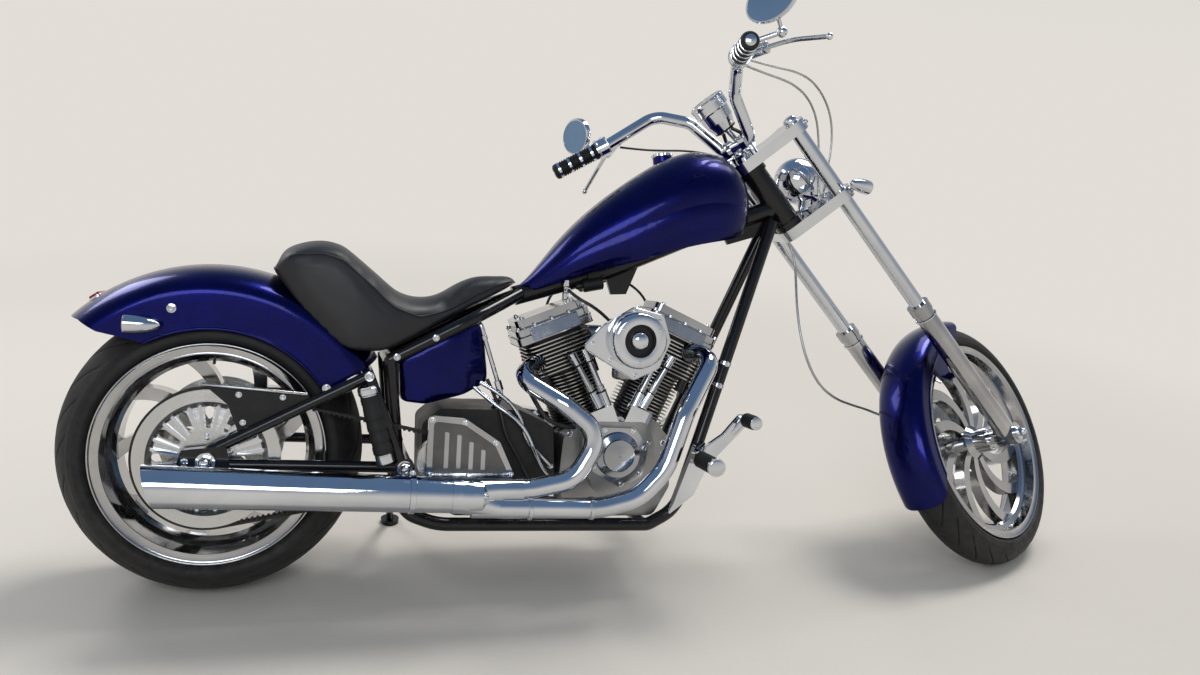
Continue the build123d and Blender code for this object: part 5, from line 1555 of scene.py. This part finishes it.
def peg_rings():
    """Ribbed rubber and end caps of the pegs and pedals, and the cast arms of the foot controls."""
    rubber = bmesh.new()
    bright = bmesh.new()
    arms = bmesh.new()
    for side in (-1, 1):
        outward = (0, side, 0)
        sleeve(rubber, RIDER_PEG, outward, 177, 261, 19.2, 10)
        cap = [(0, 271.6), (14, 271.4), (20, 269.6), (22.4, 267), (22.4, 262)]
        turn(bright, cap, RIDER_PEG, outward, 36)
        sleeve(rubber, PEDAL_PAD, outward, 198, 255, 16.2, 11.4)
        turn(bright, [(0, 259.6), (11, 259.4), (15.6, 257.6), (15.6, 254)], PEDAL_PAD, outward, 32)
        # passenger's peg, folded up
        low, high = Vector((372, side * 206, 330)), Vector((328, side * 206, 486))
        run = (high - low).normalized()
        sleeve(rubber, low, run, 20, 154, 20.0, 26)
        turn(bright, [(20.8, 156), (22.2, 158), (22.2, 170), (18, 174.6), (0, 176)], low, run, 36)
        turn(bright, [(0, -2), (15, -1.6), (19.8, 1), (20, 18), (18, 19)], low, run, 36)
        plate(arms, rounded(FOOT_ARM, 10, 4), side * 170, side * 184)
    piece("peg_rubbers", rubber, BIKE, "chassis", "grip_rubber")
    piece("peg_caps", bright, BIKE, "chassis", "chrome")
    piece("foot_arms", arms, BIKE, "chassis", "chrome", bevel=2.0, segments=3)


def guard_highlight_bead():
    """Rolled bead along the belt guard's top lip, in bright steel on the black guard as a painted highlight.
    """
    rear, front = Vector((-14, -181, 492)), Vector((202, -181, 475))
    run = (front - rear).normalized()
    length = (front - rear).length
    bm = bmesh.new()
    half = [(0, 0), (2.4, 0.4), (3.4, 2)]
    turn(bm, half + [(r, length - at) for r, at in reversed(half)], rear, run, 20)
    # Bright steel on the black guard's lip: painted highlight.
    piece("guard_highlight_bead", bm, BIKE, "chassis", "bright_steel")


def tank_fittings():
    """Filler cap, fuel tap and coil with its mount under the tank."""
    bm = bmesh.new()
    low, high = Vector((1064, 44, 1040)), Vector((1058, 50, 1091))
    run = (high - low).normalized()
    turn(bm, [(25.4, 44), (27.6, 45), (27.6, 50.6), (25, 52.8), (18, 54.2), (0, 55)], low, run, 48)
    across = run.orthogonal().normalized()
    beside = run.cross(run.orthogonal()).normalized()
    for i in range(8):
        way = spoke(math.tau * i / 8)[0]
        turn(bm, [(3.2, -6), (3.2, -0.6), (0, 0)], high + (across * way.x + beside * way.y) * 26.5, run, 10)
    tap = Vector((800, -34, 752))
    turn(bm, [(9, 0), (9, 14), (6, 16), (6, 30), (8, 32), (8, 46), (4, 48), (4, 60), (0, 60)], tap, -UP, 28)
    turn(bm, [(4, 0), (4, 22), (6.5, 22), (6.5, 30), (0, 30)], tap - UP * 24, RIGHT, 20)
    piece("tank_fittings", bm, BIKE, "chassis", "chrome")
    bm = bmesh.new()
    coil = [(0, 0), (15, 0), (18, 2), (18, 48), (15, 52), (8, 53), (8, 66), (6, 69), (0, 69)]
    for y in (-20, 22):
        turn(bm, coil, (896, y, 752), (-1, 0, -0.22), 32)
    plate(bm, rounded([(858, 742), (856, 772), (886, 780), (888, 748)], 5, 3), -30, 32)
    piece("ignition_coil", bm, BIKE, "chassis", "black_satin")


def carburettor():
    """Float bowl, throttle drum and screws of the carburettor behind the air cleaner."""
    bm = bmesh.new()
    bowl = [(0, 0), (22, 0), (27, 3), (29, 10), (29, 40), (32, 42), (32, 48), (20, 50)]
    turn(bm, bowl, (935, -120, 520), UP, 40)
    turn(bm, [(0, -30), (24, -30), (28, -26), (28, 20), (24, 24)], (935, -130, 612), LEFT, 40)
    for i in range(4):
        out = spoke(math.tau * (i + 0.5) / 4)[0] * 28
        turn(bm, [(4, -2), (4, 8), (0, 8)], (935 + out.x, -120 + out.y, 562), UP, 12)
    drum = [(0, -4), (20, -4), (20, -1), (17, 0), (20, 1), (20, 4), (0, 4)]
    turn(bm, drum, (970, -130, 596), (1, 0, 0), 36)
    piece("carburettor", bm, BIKE, "chassis", "cast_aluminium")


TUBE_LOW = 372.0
TUBE_HIGH = 935.0


def tube_clips():
    """Bolted clips round the right down tube."""
    bm = bmesh.new()
    across = Vector((0.26, 0, 0.71)).normalized()
    for z in (563, 508):
        share = (z - TUBE_LOW) / (TUBE_HIGH - TUBE_LOW)
        centre = Vector((1146 + 206 * share, -114 * (0.96 - 0.80 * share), z))
        turn(bm, [(16.2, -5), (17.6, -4.4), (17.6, 4.4), (16.2, 5)], centre, across, 40)
        bolt(bm, centre + RIGHT * 17, RIGHT, 4.6)
    piece("tube_clips", bm, BIKE, "chassis", "chrome")


PIPES = [
    # name, diameter, finish, points in machine metres
    ("oil_pipe_upper", 0.010, "chrome",
     [(0.590, -0.090, 0.500), (0.650, -0.104, 0.470), (0.690, -0.112, 0.420), (0.700, -0.112, 0.370),
      (0.740, -0.106, 0.330), (0.772, -0.098, 0.300)]),
    ("oil_pipe_lower", 0.010, "chrome",
     [(0.572, -0.084, 0.492), (0.620, -0.110, 0.452), (0.668, -0.122, 0.424), (0.700, -0.126, 0.392),
      (0.724, -0.122, 0.340), (0.756, -0.106, 0.282), (0.786, -0.096, 0.262)]),
    ("oil_pipe_return", 0.009, "wire_black",
     [(0.610, -0.070, 0.505), (0.640, -0.108, 0.440), (0.650, -0.118, 0.380), (0.690, -0.116, 0.320),
      (0.720, -0.104, 0.262), (0.740, -0.094, 0.230)]),
    ("breather_pipe", 0.011, "wire_black",
     [(0.706, -0.040, 0.500), (0.716, -0.100, 0.470), (0.746, -0.122, 0.420), (0.790, -0.116, 0.400),
      (0.826, -0.096, 0.396)]),
    ("fuel_pipe", 0.008, "wire_black",
     [(0.800, -0.064, 0.728), (0.812, -0.100, 0.712), (0.850, -0.110, 0.694), (0.890, -0.098, 0.668),
      (0.914, -0.082, 0.648)]),
]
LEADS = [
    # name, length, points in machine metres: from the coil to a plug on the left of a head
    ("plug_lead_rear", 0.19,
     [(0.850, 0.036, 0.740), (0.826, 0.064, 0.744), (0.800, 0.094, 0.724), (0.784, 0.112, 0.684),
      (0.790, 0.110, 0.640), (0.796, 0.100, 0.616)]),
    ("plug_lead_front", 0.28,
     [(0.908, 0.030, 0.752), (0.950, 0.060, 0.764), (1.006, 0.092, 0.752), (1.056, 0.112, 0.716),
      (1.076, 0.114, 0.666), (1.074, 0.104, 0.620)]),
]
LEAD_WIDTH = 0.007


def lines_and_leads():
    """Rigid oil and fuel pipes, and the two plug leads with their boots."""
    for name, diameter, finish, route in PIPES:
        bent_line(name, route, diameter, MACHINE, "chassis", finish)
    boots = bmesh.new()
    for name, length, route in LEADS:
        obj = bent_line(name, route, LEAD_WIDTH, MACHINE, "chassis", "wire_black")
        end, before = Vector(route[-1]) * 1000, Vector(route[-2]) * 1000
        run = (end - before).normalized()
        turn(boots, [(0, -12), (5, -12), (6, -8), (8, 6), (8, 26), (0, 28)], end, run, 24)
    piece("plug_boots", boots, BIKE, "chassis", "grip_rubber")


# Studio
HORIZON = (0.76, 0.73, 0.68, 1)
ZENITH = (0.12, 0.20, 0.34, 1)
DAYLIGHT = (0.80, 0.84, 0.90, 1)
FLOOR_SIZE = 40.0
LAMPS = [
    # name, place, aim, width, height, watts, colour
    ("key_lamp", (1.9, 1.6, 3.6), (0.1, 0.0, 0.4), 2.4, 1.6, 40, (1.0, 0.97, 0.92)),
    ("side_lamp", (-1.4, -3.4, 2.6), (0.1, 0.0, 0.5), 2.2, 1.2, 40, (0.92, 0.96, 1.0)),
    ("rim_lamp", (-2.6, 1.8, 2.2), (0.0, 0.0, 0.6), 1.2, 1.2, 24, (1.0, 1.0, 1.0)),
]


def shown_share(bench):
    """1 for the rays that show the background itself."""
    rays = bench.add("LightPath").outputs
    share = bench.sum("MAXIMUM", rays["Is Camera Ray"], rays["Is Glossy Ray"])
    return bench.sum("MAXIMUM", share, rays["Is Transmission Ray"])


def soft_sky():
    """World that goes from the floor's tone to a blue above, and lights evenly."""
    world = bpy.data.worlds.new("studio")
    world.use_nodes = True
    world.node_tree.nodes.clear()
    bench = Bench(world.node_tree)
    way = bench.add("TexCoord").outputs["Generated"]
    height = bench.add("SeparateXYZ", {"Vector": way}).outputs["Z"]
    sky = bench.mix(bench.ramp(height, 0.02, 0.75, kind="SMOOTHSTEP"), HORIZON, ZENITH)
    shown = bench.add("Background", {"Color": sky, "Strength": 1.0}).outputs[0]
    light = bench.add("Background", {"Color": DAYLIGHT, "Strength": 0.42}).outputs[0]
    both = bench.add("MixShader", {0: shown_share(bench), 1: light, 2: shown}).outputs[0]
    bench.add("OutputWorld", {"Surface": both})
    bpy.context.scene.world = world


def pale_floor():
    """Floor that fades into the sky away from the machine."""
    mesh = bpy.data.meshes.new("floor")
    corners = [(x * FLOOR_SIZE, y * FLOOR_SIZE, 0) for x, y in ((-1, -1), (1, -1), (1, 1), (-1, 1))]
    mesh.from_pydata(corners, [], [(0, 1, 2, 3)])
    floor = link(bpy.data.objects.new("floor", mesh))
    material, bench, sockets = node_material("floor_pale")
    place = bench.place()
    away = bench.add("VectorMath", {0: place}, operation="LENGTH").outputs["Value"]
    fade = bench.ramp(away, 1.6, 4.0, kind="SMOOTHSTEP")
    share = bench.sum("MULTIPLY", fade, shown_share(bench))
    grit = bench.noise(Vector=place, Scale=90.0, Detail=6.0)
    tint = bench.mix(grit, (0.66, 0.63, 0.58, 1), (0.70, 0.67, 0.62, 1))
    bench.fill(sockets, {"Base Color": tint, "Roughness": 0.9, "Specular IOR Level": 0.1})
    glow = bench.add("Emission", {"Color": HORIZON, "Strength": 1.0}).outputs[0]
    nodes = material.node_tree.nodes
    both = bench.add("MixShader", {0: share, 1: nodes["Principled BSDF"].outputs[0], 2: glow}).outputs[0]
    bench.fill(nodes["Material Output"].inputs, {"Surface": both})
    mesh.materials.append(material)


def soft_lamps():
    """One broad sun and three soft lamps."""
    sun = bpy.data.lights.new("broad_lamp", "SUN")
    sun.angle = math.radians(20)
    sun.energy = 1.35
    sun.color = (1.0, 0.97, 0.93)
    lamp = link(bpy.data.objects.new("broad_lamp", sun))
    lamp.rotation_euler = Vector((0.55, 0.45, 1.35)).to_track_quat("Z", "Y").to_euler()
    for name, spot, aim, wide, high, watts, colour in LAMPS:
        data = bpy.data.lights.new(name, "AREA")
        data.shape = "RECTANGLE"
        data.size, data.size_y = wide, high
        data.energy = watts
        data.color = colour
        lamp = link(bpy.data.objects.new(name, data))
        lamp.location = spot
        lamp.rotation_euler = (Vector(aim) - Vector(spot)).to_track_quat("-Z", "Y").to_euler()


def studio():
    """Pale floor that fades into a soft sky, with broad soft lamps."""
    soft_sky()
    pale_floor()
    soft_lamps()
    bpy.context.scene.view_settings.view_transform = "Standard"


photo_camera()
hang_cords()
dress_nodes()
for row in TYRES:
    treaded_tyre(*row)
rear_fender_skin()
front_fender_skin()
padded_seat()
oil_tank_skin()
finned_cylinders()
rocker_detail()
air_cleaner_detail()
case_bolts()
pushrod_detail()
pipe_merge()
muffler_detail()
rim_lips()
gear_cover_panel()
belt_teeth()
pulley_teeth()
wheel_bolts()
ribbed_grips()
front_lights()
rear_lights()
mirror_faces()
dial()
dial_bracket()
fork_detail()
hand_detail()
chassis_fasteners()
peg_rings()
tank_fittings()
carburettor()
tube_clips()
guard_highlight_bead()
lines_and_leads()
studio()
